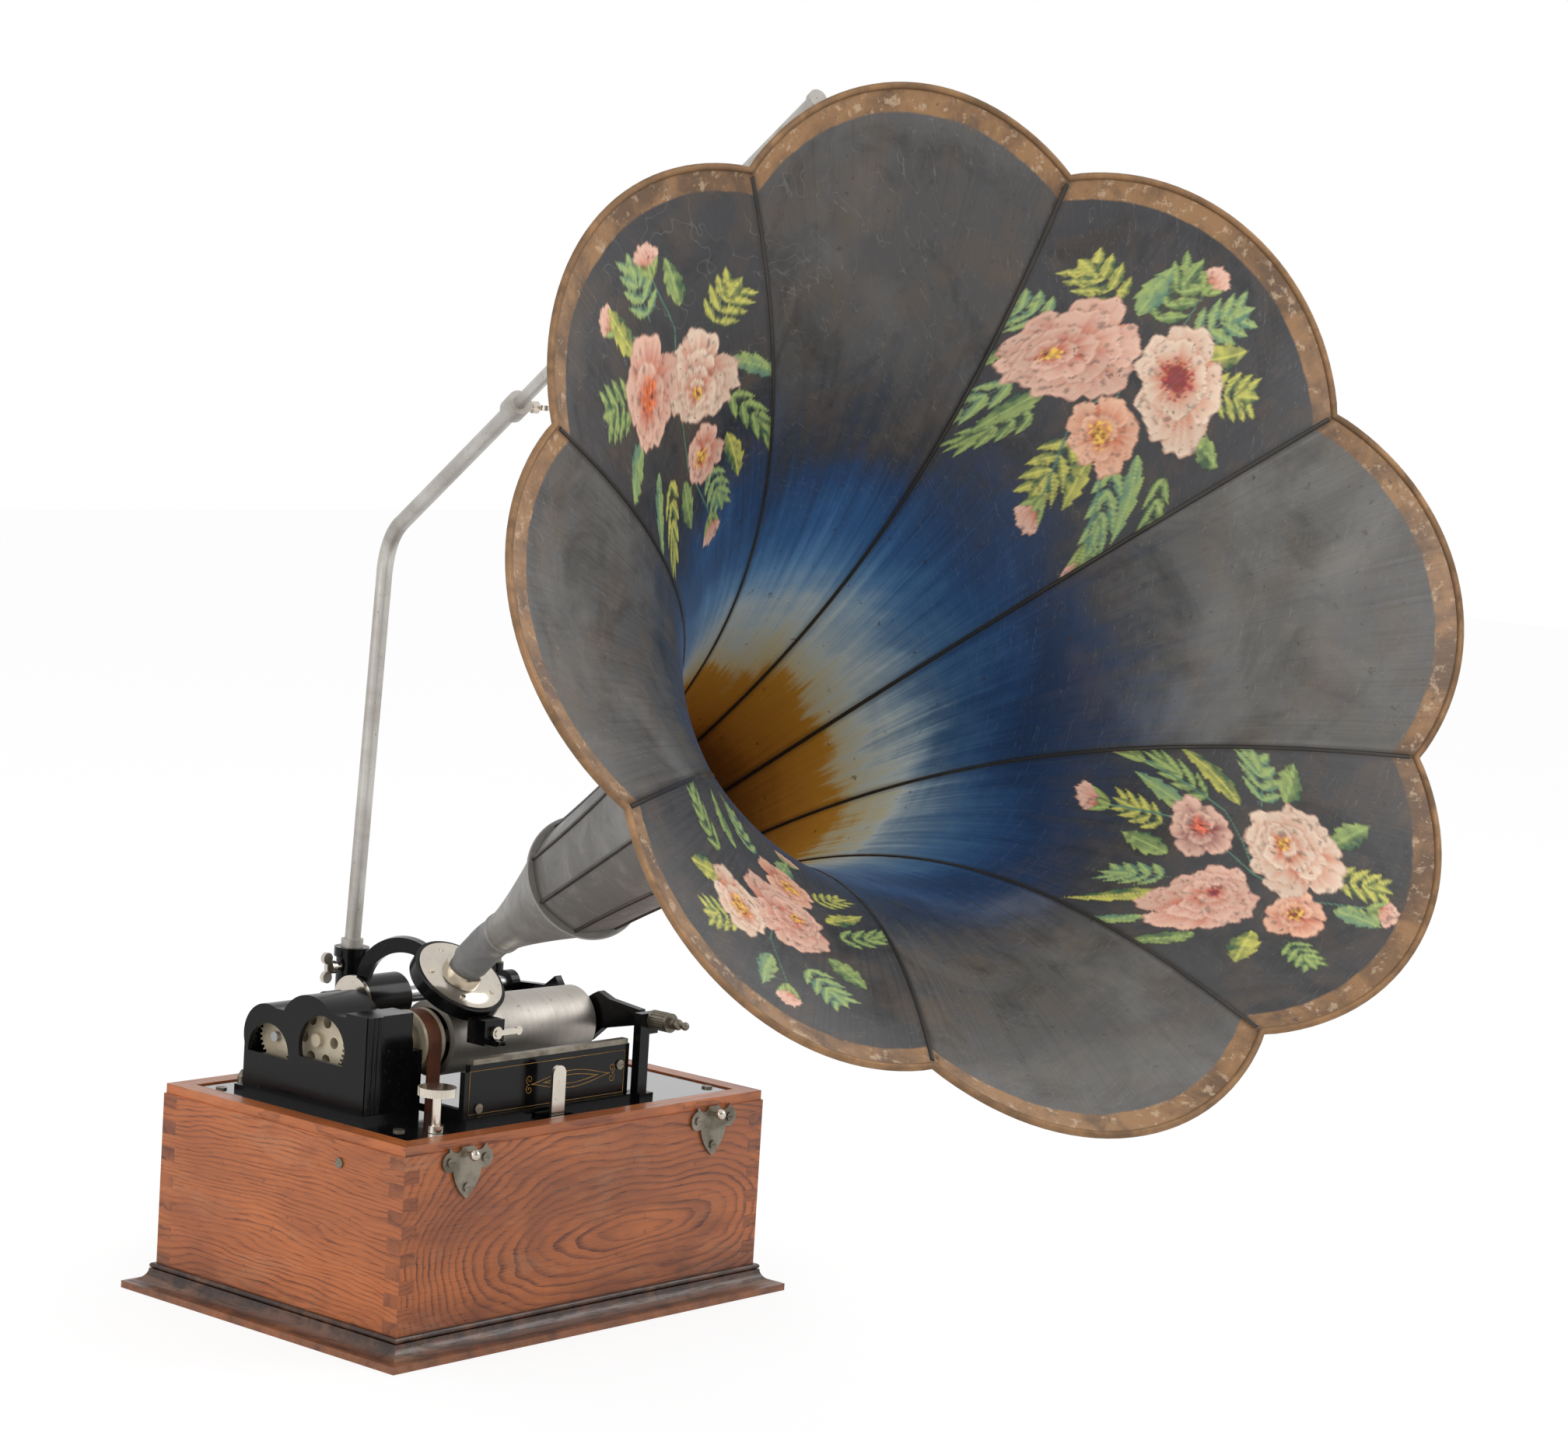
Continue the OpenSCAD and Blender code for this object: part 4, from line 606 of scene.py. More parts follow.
class Canvas:
    """Colour and cover at each point of a petal, painted in millimetres."""

    def __init__(self, x, y):
        self.x, self.y = x, y
        self.colour = np.zeros((*x.shape, 3))
        self.cover = np.zeros(x.shape)
        self.grit = value_noise(x / 1.6, y / 1.6, 3)
        self.brush = value_noise(x / 3.0, y / 3.0, 9)

    def lay(self, mask, colour):
        mask = np.clip(mask, 0, 1)[..., None]
        self.colour = self.colour * (1 - mask) + np.asarray(colour) * mask
        self.cover = 1 - (1 - self.cover) * (1 - mask[..., 0])

    def local(self, cx, cy, angle):
        """Coordinates about a point, X turned to the angle."""
        c, s = math.cos(angle), math.sin(angle)
        dx, dy = self.x - cx, self.y - cy
        return c * dx + s * dy, -s * dx + c * dy

    def leaf(self, cx, cy, angle, length, width, light, dark, teeth, curl=0.0):
        """Toothed leaf from its stalk end, with a pale midrib and side veins."""
        u, v = self.local(cx, cy, angle)
        t = np.clip(u / length, 0, 1)
        v = v - curl * length * t * t
        tooth = t * teeth - np.floor(t * teeth) if teeth else 0.0
        half = 0.5 * width * np.sin(np.pi * t ** 0.8) ** 0.85 * (1 - 0.30 * tooth) + 0.15
        inside = (u > -0.3) & (u < length + 0.3)
        mask = smooth_step(half - np.abs(v), -0.45, 0.45) * inside
        tone = np.clip(0.5 + 0.55 * v / (0.5 * width + 0.1) + 0.7 * (self.brush - 0.5), 0, 1)
        self.lay(mask, between(dark, light, tone))
        side_veins = smooth_step(np.abs(np.sin(teeth * np.pi * t - 0.9 * np.abs(v))), 0.25, 0.0)
        vein = smooth_step(np.abs(v), 0.9, 0.2) * 0.7 + side_veins * 0.3
        self.lay(mask * np.clip(vein, 0, 1) * 0.8, lightened(light, 1.35))
        self.lay(mask * smooth_step(half - np.abs(v), 0.8, 0.0) * 0.5, np.asarray(dark) * 0.6)

    def sprig(self, cx, cy, angle, length, light, dark):
        """Leaf cut into leaflets that pair along its rib."""
        pairs, spread = 4, 0.95

        def at(t):
            return cx + t * length * math.cos(angle), cy + t * length * math.sin(angle)

        self.stem([(cx, cy), at(0.9)], 0.6, dark)
        for i in range(pairs):
            size = length * (0.46 - 0.16 * abs(i - 0.35 * pairs) / pairs)
            for side in (-1, 1):
                self.leaf(*at(0.12 + 0.62 * i / (pairs - 1)), angle + side * (spread - 0.06 * i), size,
                          size * 0.44, light, dark, 3, -0.12 * side)
        self.leaf(*at(0.62), angle, length * 0.46, length * 0.2, light, dark, 3)

    def petal(self, cx, cy, angle, reach, spread, edge, heart, seed):
        """One broad flower petal about the flower's heart, shaded at its base and on one side."""
        dx, dy = self.x - cx, self.y - cy
        r = np.hypot(dx, dy)
        q = (np.arctan2(dy, dx) - angle + math.pi) % (2 * math.pi) - math.pi
        q = q / spread
        lobe = np.clip(1 - np.abs(q) ** 2.3, 0, 1) ** 0.5
        ripple = 0.035 * np.sin(8.5 * q + seed * 2.1) + 0.02 * np.sin(17 * q + seed)
        lobe = lobe * (1 - 0.07 * np.cos(3.6 * q) + ripple)
        gap = reach * lobe - r
        mask = smooth_step(gap, -0.5, 0.6) * smooth_step(1 - np.abs(q), 0.0, 0.05)
        t = r / reach
        streak = value_noise(q * 9 + seed * 5, t * 1.6, 11 + seed)
        tone = smooth_step(t, 0.12, 0.9) + 0.5 * (streak - 0.5) - 0.35 * smooth_step(q, 0.35, 1.0)
        self.lay(mask, between(heart, edge, np.clip(tone, 0, 1)))
        side = np.minimum(gap, r * spread * (1 - np.abs(q)))
        self.lay(mask * smooth_step(side, 3.2, 0.8) * (q < 0.2) * 0.45, lightened(edge, 1.25, 0.03))
        self.lay(mask * smooth_step(side, 1.1, 0.1) * 0.62, np.asarray(heart) * 0.55)

    def bloom(self, cx, cy, radius, angle, edge, heart, centre, layers, seed):
        """Open flower: rings of petals from the outside in, and a stippled centre."""
        def at(n):
            return cx + 0.10 * n * radius * math.cos(angle), cy + 0.10 * n * radius * math.sin(angle)

        for n, (size, count) in enumerate(layers):
            spread = min(math.pi / count * 1.45, 1.25)
            for i in (*range(0, count, 2), *range(1, count, 2)):
                a = angle + (i + 0.5 * (n % 2)) * 2 * math.pi / count
                a += 0.16 * math.sin(seed * 3 + i * 1.7 + n)
                reach = radius * size * (0.90 + 0.16 * ((i * 37 + seed * 11 + n * 5) % 7) / 7)
                tint = 1.0 - 0.14 * ((i + n) % 3) / 2
                self.petal(*at(n), a, reach, spread, dimmed(edge, tint), heart, seed + i * 0.7 + n * 1.3)
        mx, my = at(len(layers) - 1)
        away = np.hypot(self.x - mx, self.y - my)
        small = radius * (0.20 if len(layers) < 3 else 0.09)
        self.lay(smooth_step(small - away, -0.6, 0.6) * 0.9, centre)
        dots = value_noise(self.x / 1.3, self.y / 1.3, seed + 40)
        for low, high, wide, colour in ((0.62, 0.74, 1.7, lightened(centre, 1.7)),
                                        (0.30, 0.20, 1.3, dimmed(heart, 0.4))):
            self.lay(smooth_step(dots, low, high) * smooth_step(small * wide - away, -1.0, 1.0), colour)

    def bud(self, cx, cy, angle, length, colour, heart, green):
        """Closed flower in its green cup."""
        for turn, share in ((-0.30, 0.92), (0.30, 0.9), (0.0, 1.0)):
            self.petal(cx, cy, angle + turn, length * share, 0.42, colour, heart, turn * 5 + 2)
        for side, share in ((-0.62, 0.62), (0.62, 0.62), (0.0, 0.42)):
            self.leaf(cx, cy, angle + side, length * share, length * 0.2, green, dimmed(green, 0.45), 0)

    def stem(self, points, width, colour):
        """Soft line through points."""
        for (x0, y0), (x1, y1) in zip(points, points[1:]):
            length = math.hypot(x1 - x0, y1 - y0)
            u, v = self.local(x0, y0, math.atan2(y1 - y0, x1 - x0))
            self.lay(smooth_step(width - np.hypot(u - np.clip(u, 0, length), v), -0.3, 0.5), colour)

    def worn(self, amount):
        """Cover with rubbed specks taken out of it."""
        rub = value_noise(self.x / 2.3, self.y / 2.3, 21) * 0.6 + self.grit * 0.4
        return self.cover * (1 - amount * smooth_step(rub, 0.66, 0.82))


# Colours of the flowers, and their rings of petals as (size, count)
PINK, ROSE, CREAM = linear(232, 188, 166), linear(196, 98, 72), linear(236, 208, 184)
PEACH, ORANGE, MAROON = linear(238, 186, 156), linear(204, 104, 60), linear(132, 44, 54)
LEAF_LIGHT, LEAF_DARK, LIME = linear(160, 178, 104), linear(60, 92, 64), linear(204, 198, 98)
TEAL, STAMEN = linear(92, 130, 110), linear(206, 160, 70)
FULL = ((1.0, 6), (0.76, 5), (0.54, 4), (0.33, 3))
OPEN = ((1.0, 5), (0.66, 4))
SMALL = ((1.0, 5), (0.58, 3))


def spray(canvas, x, y, reach, tilt, flowers, sprigs, leaves, buds, seed):
    """One bouquet about a centre in millimetres: sprigs and leaves first, then buds and open flowers."""
    pairs = ((LEAF_LIGHT, LEAF_DARK), (LIME, LEAF_DARK), (LEAF_LIGHT, TEAL))

    def at(angle, near):
        return x + near * reach * math.cos(angle), y + near * reach * math.sin(angle)

    for i, (angle, near, length) in enumerate(sprigs):
        a = math.radians(angle) + tilt
        light, dark = pairs[(i + seed) % 3]
        lean = 0.3 * math.sin(i * 2.3 + seed)
        canvas.sprig(*at(a, near), a + lean, length * reach, light, dark)
    for angle, near, length in buds:
        a = math.radians(angle) + tilt
        bx, by = at(a, near)
        middle = (0.5 * (x + bx) + 0.12 * (by - y), 0.5 * (y + by) - 0.12 * (bx - x))
        canvas.stem([(x, y), middle, (bx, by)], 0.7, TEAL)
        canvas.bud(bx, by, a, length * reach, PINK, ROSE, LEAF_LIGHT)
    for i, (angle, near, length) in enumerate(leaves):
        a = math.radians(angle) + tilt
        light, dark = pairs[(i + seed + 1) % 3]
        lean = 0.3 * math.sin(i * 1.9 + seed)
        canvas.leaf(*at(a, near), a + lean, length * reach, length * reach * 0.5, light, dark, 4,
                    0.15 * math.sin(i * 2.1))
    c, s = math.cos(tilt), math.sin(tilt)
    for fx, fy, size, angle, edge, heart, centre, layers in flowers:
        canvas.bloom(x + (fx * c - fy * s) * reach, y + (fx * s + fy * c) * reach, size * reach,
                     math.radians(angle), edge, heart, centre, layers, seed)


# For each petal, how light its outer part is: the painted petals keep a darker ground, and on the plain
# petals the value also stands for the light each one catches, as painted light
PETAL_GROUND_AND_LIGHT = (0.1, 0.95, 0.0, 0.45, 0.0, 0.8, 0.1, 0.8)
# For each petal, how far its blue is darkened as painted shade, for the way the petal faces the light
BLUE_PAINTED_SHADE = (0.7, 0.85, 0.45, 0.0, 0.1, 0.3, 0.5, 0.35)
# For each painted petal: middle, reach, tilt; flowers as (x, y, size, angle, edge, heart, centre, rings);
# sprigs, leaves and buds as (angle, distance, length); seed
BOUQUETS = {
    2: (2, 92, 60, 0.2,
        [(-0.46, -0.22, 0.50, 10, CREAM, ORANGE, MAROON, OPEN),
         (-0.10, 0.50, 0.36, 80, PEACH, ORANGE, STAMEN, SMALL),
         (0.44, -0.10, 0.56, 40, PINK, ROSE, STAMEN, FULL)],
        [(18, 0.72, 0.62), (52, 0.70, 0.55), (82, 0.66, 0.66), (118, 0.66, 0.62), (160, 0.78, 0.5),
         (205, 0.80, 0.5), (238, 0.62, 0.6), (272, 0.46, 0.66), (300, 0.6, 0.62), (334, 0.82, 0.55)],
        [(35, 0.6, 0.5), (100, 0.72, 0.46), (140, 0.62, 0.5), (184, 0.84, 0.36), (222, 0.7, 0.44),
         (286, 0.52, 0.5), (352, 0.86, 0.36)],
        [(88, 1.24, 0.34), (118, 1.18, 0.3), (255, 0.92, 0.3)], 2),
    0: (0, 84, 58, -0.35,
        [(0.05, 0.64, 0.32, 30, PINK, MAROON, ROSE, SMALL),
         (-0.48, 0.02, 0.46, 0, PINK, ROSE, MAROON, FULL),
         (-0.06, -0.56, 0.28, 20, PEACH, ROSE, STAMEN, SMALL),
         (0.40, -0.14, 0.48, 66, CREAM, ORANGE, STAMEN, FULL)],
        [(24, 0.66, 0.5), (60, 0.74, 0.5), (96, 0.92, 0.5), (136, 0.66, 0.5), (250, 0.8, 0.4),
         (312, 0.66, 0.5)],
        [(8, 0.78, 0.42), (42, 0.66, 0.5), (78, 0.84, 0.46), (114, 0.78, 0.5), (152, 0.72, 0.5),
         (178, 0.86, 0.4), (206, 0.8, 0.44), (232, 0.66, 0.46), (286, 0.74, 0.42), (334, 0.76, 0.46)],
        [(70, 1.24, 0.36), (98, 1.46, 0.36), (296, 0.98, 0.3)], 5),
    4: (0, 98, 58, 0.1,
        [(0.02, 0.80, 0.30, 15, PINK, ROSE, STAMEN, SMALL),
         (-0.26, 0.12, 0.48, 55, CREAM, ROSE, STAMEN, FULL),
         (0.28, -0.30, 0.46, 20, PINK, ROSE, ORANGE, OPEN)],
        [(40, 0.62, 0.6), (90, 0.98, 0.56), (140, 0.62, 0.6), (200, 0.66, 0.6), (262, 0.68, 0.6),
         (315, 0.68, 0.6)],
        [(16, 0.62, 0.5), (64, 0.8, 0.5), (112, 0.86, 0.5), (168, 0.66, 0.5), (232, 0.72, 0.46),
         (288, 0.7, 0.5), (342, 0.66, 0.5)],
        [(84, 1.46, 0.36), (250, 1.0, 0.34), (284, 1.0, 0.3)], 7),
    6: (0, 88, 56, -0.1,
        [(0.0, 0.66, 0.34, 25, PEACH, ROSE, STAMEN, SMALL),
         (0.10, 0.02, 0.50, 45, PINK, ROSE, STAMEN, FULL),
         (-0.30, -0.50, 0.36, 5, CREAM, ORANGE, STAMEN, OPEN)],
        [(20, 0.6, 0.56), (70, 0.8, 0.5), (120, 0.7, 0.56), (190, 0.6, 0.56), (250, 0.72, 0.5),
         (310, 0.66, 0.56)],
        [(44, 0.62, 0.5), (96, 0.86, 0.46), (152, 0.6, 0.5), (220, 0.72, 0.46), (282, 0.72, 0.46),
         (340, 0.62, 0.5)],
        [(92, 1.32, 0.34), (292, 1.0, 0.3)], 9),
}


def horn_paint_material(horn):
    """Inside of the bell: gold throat, blue bell and charcoal rim, streaked along the horn, with painted
    shade on the blue and along the seams and painted light on the plain petals.
    """
    material, net, shader = new_material("Horn inside paint")
    depth, edge, seam, tone, shade = (
        net.node("ShaderNodeAttribute", attribute_name=name).outputs["Fac"]
        for name in ("Depth", "Edge", "Seam", "Tone", "Shade")
    )
    flowers = net.node("ShaderNodeAttribute", attribute_name="Paint").outputs
    along = net.node("ShaderNodeUVMap", uv_map="Along").outputs[0]

    def mm(value):
        return value / 1000 / PAINT_REACH

    long_streak = net.noise(net.stretched(along, (14.0, 5.0, 1.0)), 1.0, 4.0, 0.6)
    fine_streak = net.noise(net.stretched(along, (90.0, 9.0, 1.0)), 1.0, 3.0, 0.6)
    smear = net.noise(net.stretched(along, (4.0, 26.0, 1.0)), 1.0, 5.0, 0.65, 0.8)
    cloud = net.noise(net.place(), 11.0, 5.0, 0.6, 0.6)
    patch = net.noise(net.place(), 34.0, 5.0, 0.6, 0.3)
    chip = net.noise(net.place(), 160.0, 3.0, 0.7)
    shift = net.plus(net.sway(long_streak, 0.065), net.sway(fine_streak, 0.022))
    shift = net.plus(shift, net.sway(cloud, 0.12))
    level = net.maths("DIVIDE", net.plus(depth, shift), PAINT_REACH)
    blue, gold, charcoal = tuple(horn.blue), tuple(horn.gold), tuple(horn.charcoal)
    stops = [
        (0.0, charcoal), (mm(66), charcoal), (mm(90), linear(54, 60, 70)), (mm(116), linear(44, 72, 112)),
        (mm(148), linear(60, 106, 158)), (mm(174), blue), (mm(198), linear(150, 184, 210)),
        (mm(232), linear(202, 212, 210)), (mm(262), linear(216, 204, 162)), (mm(276), gold),
        (mm(312), linear(200, 140, 54)), (mm(360), linear(146, 96, 40)), (mm(450), linear(80, 54, 28)),
    ]
    blues = net.times(net.remap(level, mm(84), mm(122)), net.remap(level, mm(236), mm(190)))
    rim = net.remap(depth, 0.13, 0.07, smooth=True)
    outer = net.remap(depth, 0.15, 0.07, smooth=True)
    band = net.remap(net.plus(edge, net.sway(patch, 0.004)), horn.band + 0.0006, horn.band - 0.0006)
    worn_gold = net.layers(tuple(horn.rim_gold), [
        (net.remap(patch, 0.42, 0.6), linear(104, 78, 56)),
        (net.remap(chip, 0.56, 0.66, 0.0, 0.6), linear(198, 172, 142)),
    ])
    marks = net.wear(14.0, 34.0)
    base = net.layers(net.ramp(level, stops), [
        # Blue darkened on the petals that face away from the light: painted shade
        (net.times(shade, blues), linear(112, 124, 138), "MULTIPLY"),
        # Dark ground near the rim where the tone is low: the painted petals' own darker ground, and on the
        # plain petals painted shade
        (net.times(rim, net.remap(tone, 1.0, 0.0, 0.0, 0.72)), linear(44, 45, 52)),
        (net.times(net.remap(patch, 0.48, 0.7, 0.0, 0.5), outer), linear(96, 78, 60)),
        (net.times(net.remap(smear, 0.5, 0.3, 0.0, 0.55), outer), linear(60, 60, 60), "MULTIPLY"),
        # Pale clouds, strongest on the lightest plain petals: partly scuffed paint and partly painted sheen
        (net.times(net.remap(cloud, 0.48, 0.7, 0.0, 0.5), net.times(outer, tone)), linear(136, 134, 130)),
        (net.remap(fine_streak, 0.5, 0.3, 0.0, 0.14), linear(30, 34, 40), "MULTIPLY"),
        (flowers["Alpha"], flowers["Color"]),
        (band, worn_gold),
        (net.times(marks["Specks"], 0.55), linear(52, 40, 30)),
        (net.times(marks["Scratches"], 0.16), linear(170, 168, 160)),
        # Darker line along each seam: painted shade in the seam's groove
        (net.remap(seam, 0.0036, 0.0010, 0.0, 0.45), linear(34, 32, 30)),
    ])
    net.fill(shader.inputs, {
        "Base Color": base, "Roughness": net.remap(fine_streak, 0.3, 0.7, 0.34, 0.52),
        "Specular IOR Level": 0.5,
    })
    net.bump(shader, net.plus(net.times(cloud, 2.0), net.times(fine_streak, 0.4)), 0.0012, 0.35)
    return material


def horn_back_material(horn, name="Horn outside paint", tint=1.0):
    """Dull grey paint of the horn's back, clouded and scuffed."""
    material, net, shader = new_material(name)
    marks = net.wear(16.0, 70.0)
    grey = dimmed(horn.outside, tint)
    scuff = net.noise(net.place(), 46.0, 6.0, 0.75, 0.6)
    body = net.layers(grey, [
        (net.times(marks["Clouds"], 0.6), dimmed(grey, 0.62)),
        (net.times(marks["Specks"], 0.5), linear(150, 146, 138)),
        (net.times(marks["Scratches"], 0.25), linear(54, 48, 42)),
        (net.remap(scuff, 0.52, 0.7, 0.0, 0.45), [min(v * 1.7, 1.0) for v in grey]),
        (net.remap(scuff, 0.42, 0.28, 0.0, 0.5), dimmed(grey, 0.4)),
    ])
    net.fill(shader.inputs, {
        "Base Color": body, "Roughness": net.remap(marks["Clouds"], 0.0, 1.0, 0.36, 0.56), "Metallic": 0.35,
    })
    net.bump(shader, marks["Height"], 0.0006, 0.35)
    return material


def make_petal(horn, k, columns, rows, materials):
    """Closed shell of one petal, its inside painted and its back grey."""
    across = np.linspace(-1, 1, columns + 1)
    along = np.interp(np.linspace(0, 1, rows + 1), [0, 0.76, 1], [0, 0.50, 1])
    inner, depth = petal_grid(horn, across, along)
    outer, _ = petal_grid(horn, across, along, horn.sheet)
    count = (columns + 1) * (rows + 1)
    points = to_row(turned(np.concatenate([inner.reshape(-1, 3), outer.reshape(-1, 3)]), petal_angle(k)))
    inside = grid_faces(rows, columns)
    back = grid_faces(rows, columns, count, True)
    row = columns + 1
    top = np.arange(columns)
    low = top + rows * row
    left = np.arange(rows) * row
    right = left + columns
    edges = np.concatenate([
        np.stack([top + 1, top, top + count, top + 1 + count], -1),
        np.stack([low, low + 1, low + 1 + count, low + count], -1),
        np.stack([left, left + row, left + row + count, left + count], -1),
        np.stack([right + row, right, right + count, right + row + count], -1),
    ])
    faces = np.concatenate([inside, back, edges]).tolist()
    made = new_object(f"horn_petal_{k + 1}", points, faces, materials)
    mesh = made.data
    slots = np.ones(len(mesh.polygons), np.int32)
    slots[:len(inside)] = 0
    mesh.polygons.foreach_set("material_index", slots)
    steps = np.linalg.norm(np.diff(inner, axis=0), axis=-1)
    edge = np.concatenate([np.zeros((1, columns + 1)), np.cumsum(steps, axis=0)])
    half = np.hypot(inner[..., 0], inner[..., 1]) * math.pi / PETALS
    seam = (1 - np.abs(across))[None, :] * half
    # Tone: the petal's ground, which on the plain petals also carries painted light
    tone = np.full(depth.shape, PETAL_GROUND_AND_LIGHT[k])
    # Painted shade of the blue, blended across the seams from the petals on either side
    shades = BLUE_PAINTED_SHADE[-1:] + BLUE_PAINTED_SHADE + BLUE_PAINTED_SHADE[:1]
    shade = np.broadcast_to(np.interp(k + across / 2, range(-1, PETALS + 1), shades), depth.shape)
    for name, values in (("Depth", depth), ("Edge", edge), ("Seam", seam), ("Tone", tone), ("Shade", shade)):
        layer = mesh.attributes.new(name, "FLOAT", "POINT")
        layer.data.foreach_set("value", np.tile(values.ravel(), 2).astype(np.float32))
    colours = np.zeros((count, 4), np.float32)
    if k % 2 == 0:
        canvas = Canvas(across[None, :] * half * 1000, edge * 1000)
        spray(canvas, *BOUQUETS[k])
        colours[:, :3] = np.clip(canvas.colour, 0, 1).reshape(-1, 3)
        colours[:, 3] = canvas.worn(0.5).ravel()
    layer = mesh.attributes.new("Paint", "FLOAT_COLOR", "POINT")
    layer.data.foreach_set("color", np.tile(colours.ravel(), 2))
    along_map = mesh.uv_layers.new(name="Along")
    loops = np.empty(len(mesh.loops), np.int32)
    mesh.loops.foreach_get("vertex_index", loops)
    flat = np.stack([(k + 0.5 + 0.5 * np.broadcast_to(across, depth.shape)).ravel(), edge.ravel()], -1)
    along_map.data.foreach_set("uv", np.tile(flat, (2, 1))[loops].ravel().astype(np.float32))
    sharp = mesh.attributes.get("sharp_face") or mesh.attributes.new("sharp_face", "BOOLEAN", "FACE")
    flags = np.zeros(len(mesh.polygons), bool)
    flags[-len(edges):] = True
    sharp.data.foreach_set("value", flags)
    return made


class PhonoPiece:
    """Base of the operators: run from the sidebar or from the script."""

    bl_options = {"REGISTER"}

    def execute(self, context):
        self.build(context.scene)
        return {"FINISHED"}


class PHONO_OT_horn_petals(PhonoPiece, bpy.types.Operator):
    """Make the horn's petals with their paint"""

    bl_idname = "phono.horn_petals"
    bl_label = "Horn petals"

    def build(self, scene):
        horn = scene.phono_horn
        materials = [horn_paint_material(horn), horn_back_material(horn)]
        for k in range(PETALS):
            painted = k % 2 == 0
            made = make_petal(horn, k, *(PAINTED_GRID if painted else PLAIN_GRID), materials)
            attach(made, "horn")
            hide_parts("horn_petals_painted" if painted else "horn_petals_plain")


def tube_tree():
    """Geometry Nodes: a round bar swept along a path."""
    net, start, end = new_group(
        "Swept wire", "GeometryNodeTree",
        [("Geometry", GEOMETRY), ("Radius", FLOAT), ("Sides", WHOLE), ("Material", MATERIAL)],
        [("Geometry", GEOMETRY)],
    )
    path = net.node("GeometryNodeMeshToCurve", {"Mesh": start["Geometry"]})
    ring = net.node("GeometryNodeCurvePrimitiveCircle",
                    {"Resolution": start["Sides"], "Radius": start["Radius"]})
    swept = net.node("GeometryNodeCurveToMesh",
                     {"Curve": path.outputs[0], "Profile Curve": ring.outputs[0], "Fill Caps": True})
    smooth = net.node("GeometryNodeSetShadeSmooth", {"Geometry": swept.outputs[0]})
    real = net.node("GeometryNodeRealizeInstances", {0: smooth.outputs[0]})
    coloured = net.node("GeometryNodeSetMaterial",
                        {"Geometry": real.outputs[0], "Material": start["Material"]})
    net.set(end[0], coloured.outputs[0])
    return net.tree


def soften_tree():
    """Geometry Nodes: smooth shading that breaks at real corners, for the solids' loose triangles."""
    net, start, end = new_group(
        "Soft shading", "GeometryNodeTree",
        [("Geometry", GEOMETRY), ("Corner", FLOAT)], [("Geometry", GEOMETRY)],
    )
    merged = net.node("GeometryNodeMergeByDistance", {"Geometry": start["Geometry"], "Distance": 2e-6})
    smooth = net.node("GeometryNodeSetShadeSmooth", {"Geometry": merged.outputs[0], "Shade Smooth": True})
    angle = net.node("GeometryNodeInputMeshEdgeAngle")
    corner = net.node("FunctionNodeCompare", {0: angle.outputs[0], 1: start["Corner"]},
                      data_type="FLOAT", operation="GREATER_THAN")
    sharp = net.node(
        "GeometryNodeSetShadeSmooth",
        {"Geometry": smooth.outputs[0], "Selection": corner.outputs[0], "Shade Smooth": False}, domain="EDGE",
    )
    net.set(end[0], sharp.outputs[0])
    return net.tree


# Makers of the node groups, by name
GROUPS = {
    "Oak grain": grain_group, "Handling wear": wear_group, "Swept wire": tube_tree,
    "Soft shading": soften_tree,
}


def add_nodes(thing, group, values):
    """Modifier with a node group, its inputs set by their names."""
    modifier = thing.modifiers.new(group, "NODES")
    modifier.node_group = group_named(group)
    for item in modifier.node_group.interface.items_tree:
        if item.item_type == "SOCKET" and item.in_out == "INPUT" and item.name in values:
            modifier[item.identifier] = values[item.name]


def swept_wire(name, lines, radius, sides, material):
    """Round wire along each line of (points, closed), as a plain mesh object."""
    vertices, edges = [], []
    for points, closed in lines:
        first = len(vertices)
        vertices += [tuple(p) for p in points]
        edges += [(first + i, first + i + 1) for i in range(len(points) - 1)]
        if closed:
            edges.append((len(vertices) - 1, first))
    path = bpy.data.meshes.new(name + "_path")
    path.from_pydata(vertices, edges, [])
    source = bpy.data.objects.new(name + "_path", path)
    bpy.context.scene.collection.objects.link(source)
    add_nodes(source, "Swept wire", {"Radius": radius, "Sides": sides, "Material": material})
    graph = bpy.context.evaluated_depsgraph_get()
    mesh = bpy.data.meshes.new_from_object(source.evaluated_get(graph))
    mesh.name = name
    made = bpy.data.objects.new(name, mesh)
    bpy.context.scene.collection.objects.link(made)
    bpy.data.objects.remove(source)
    return made


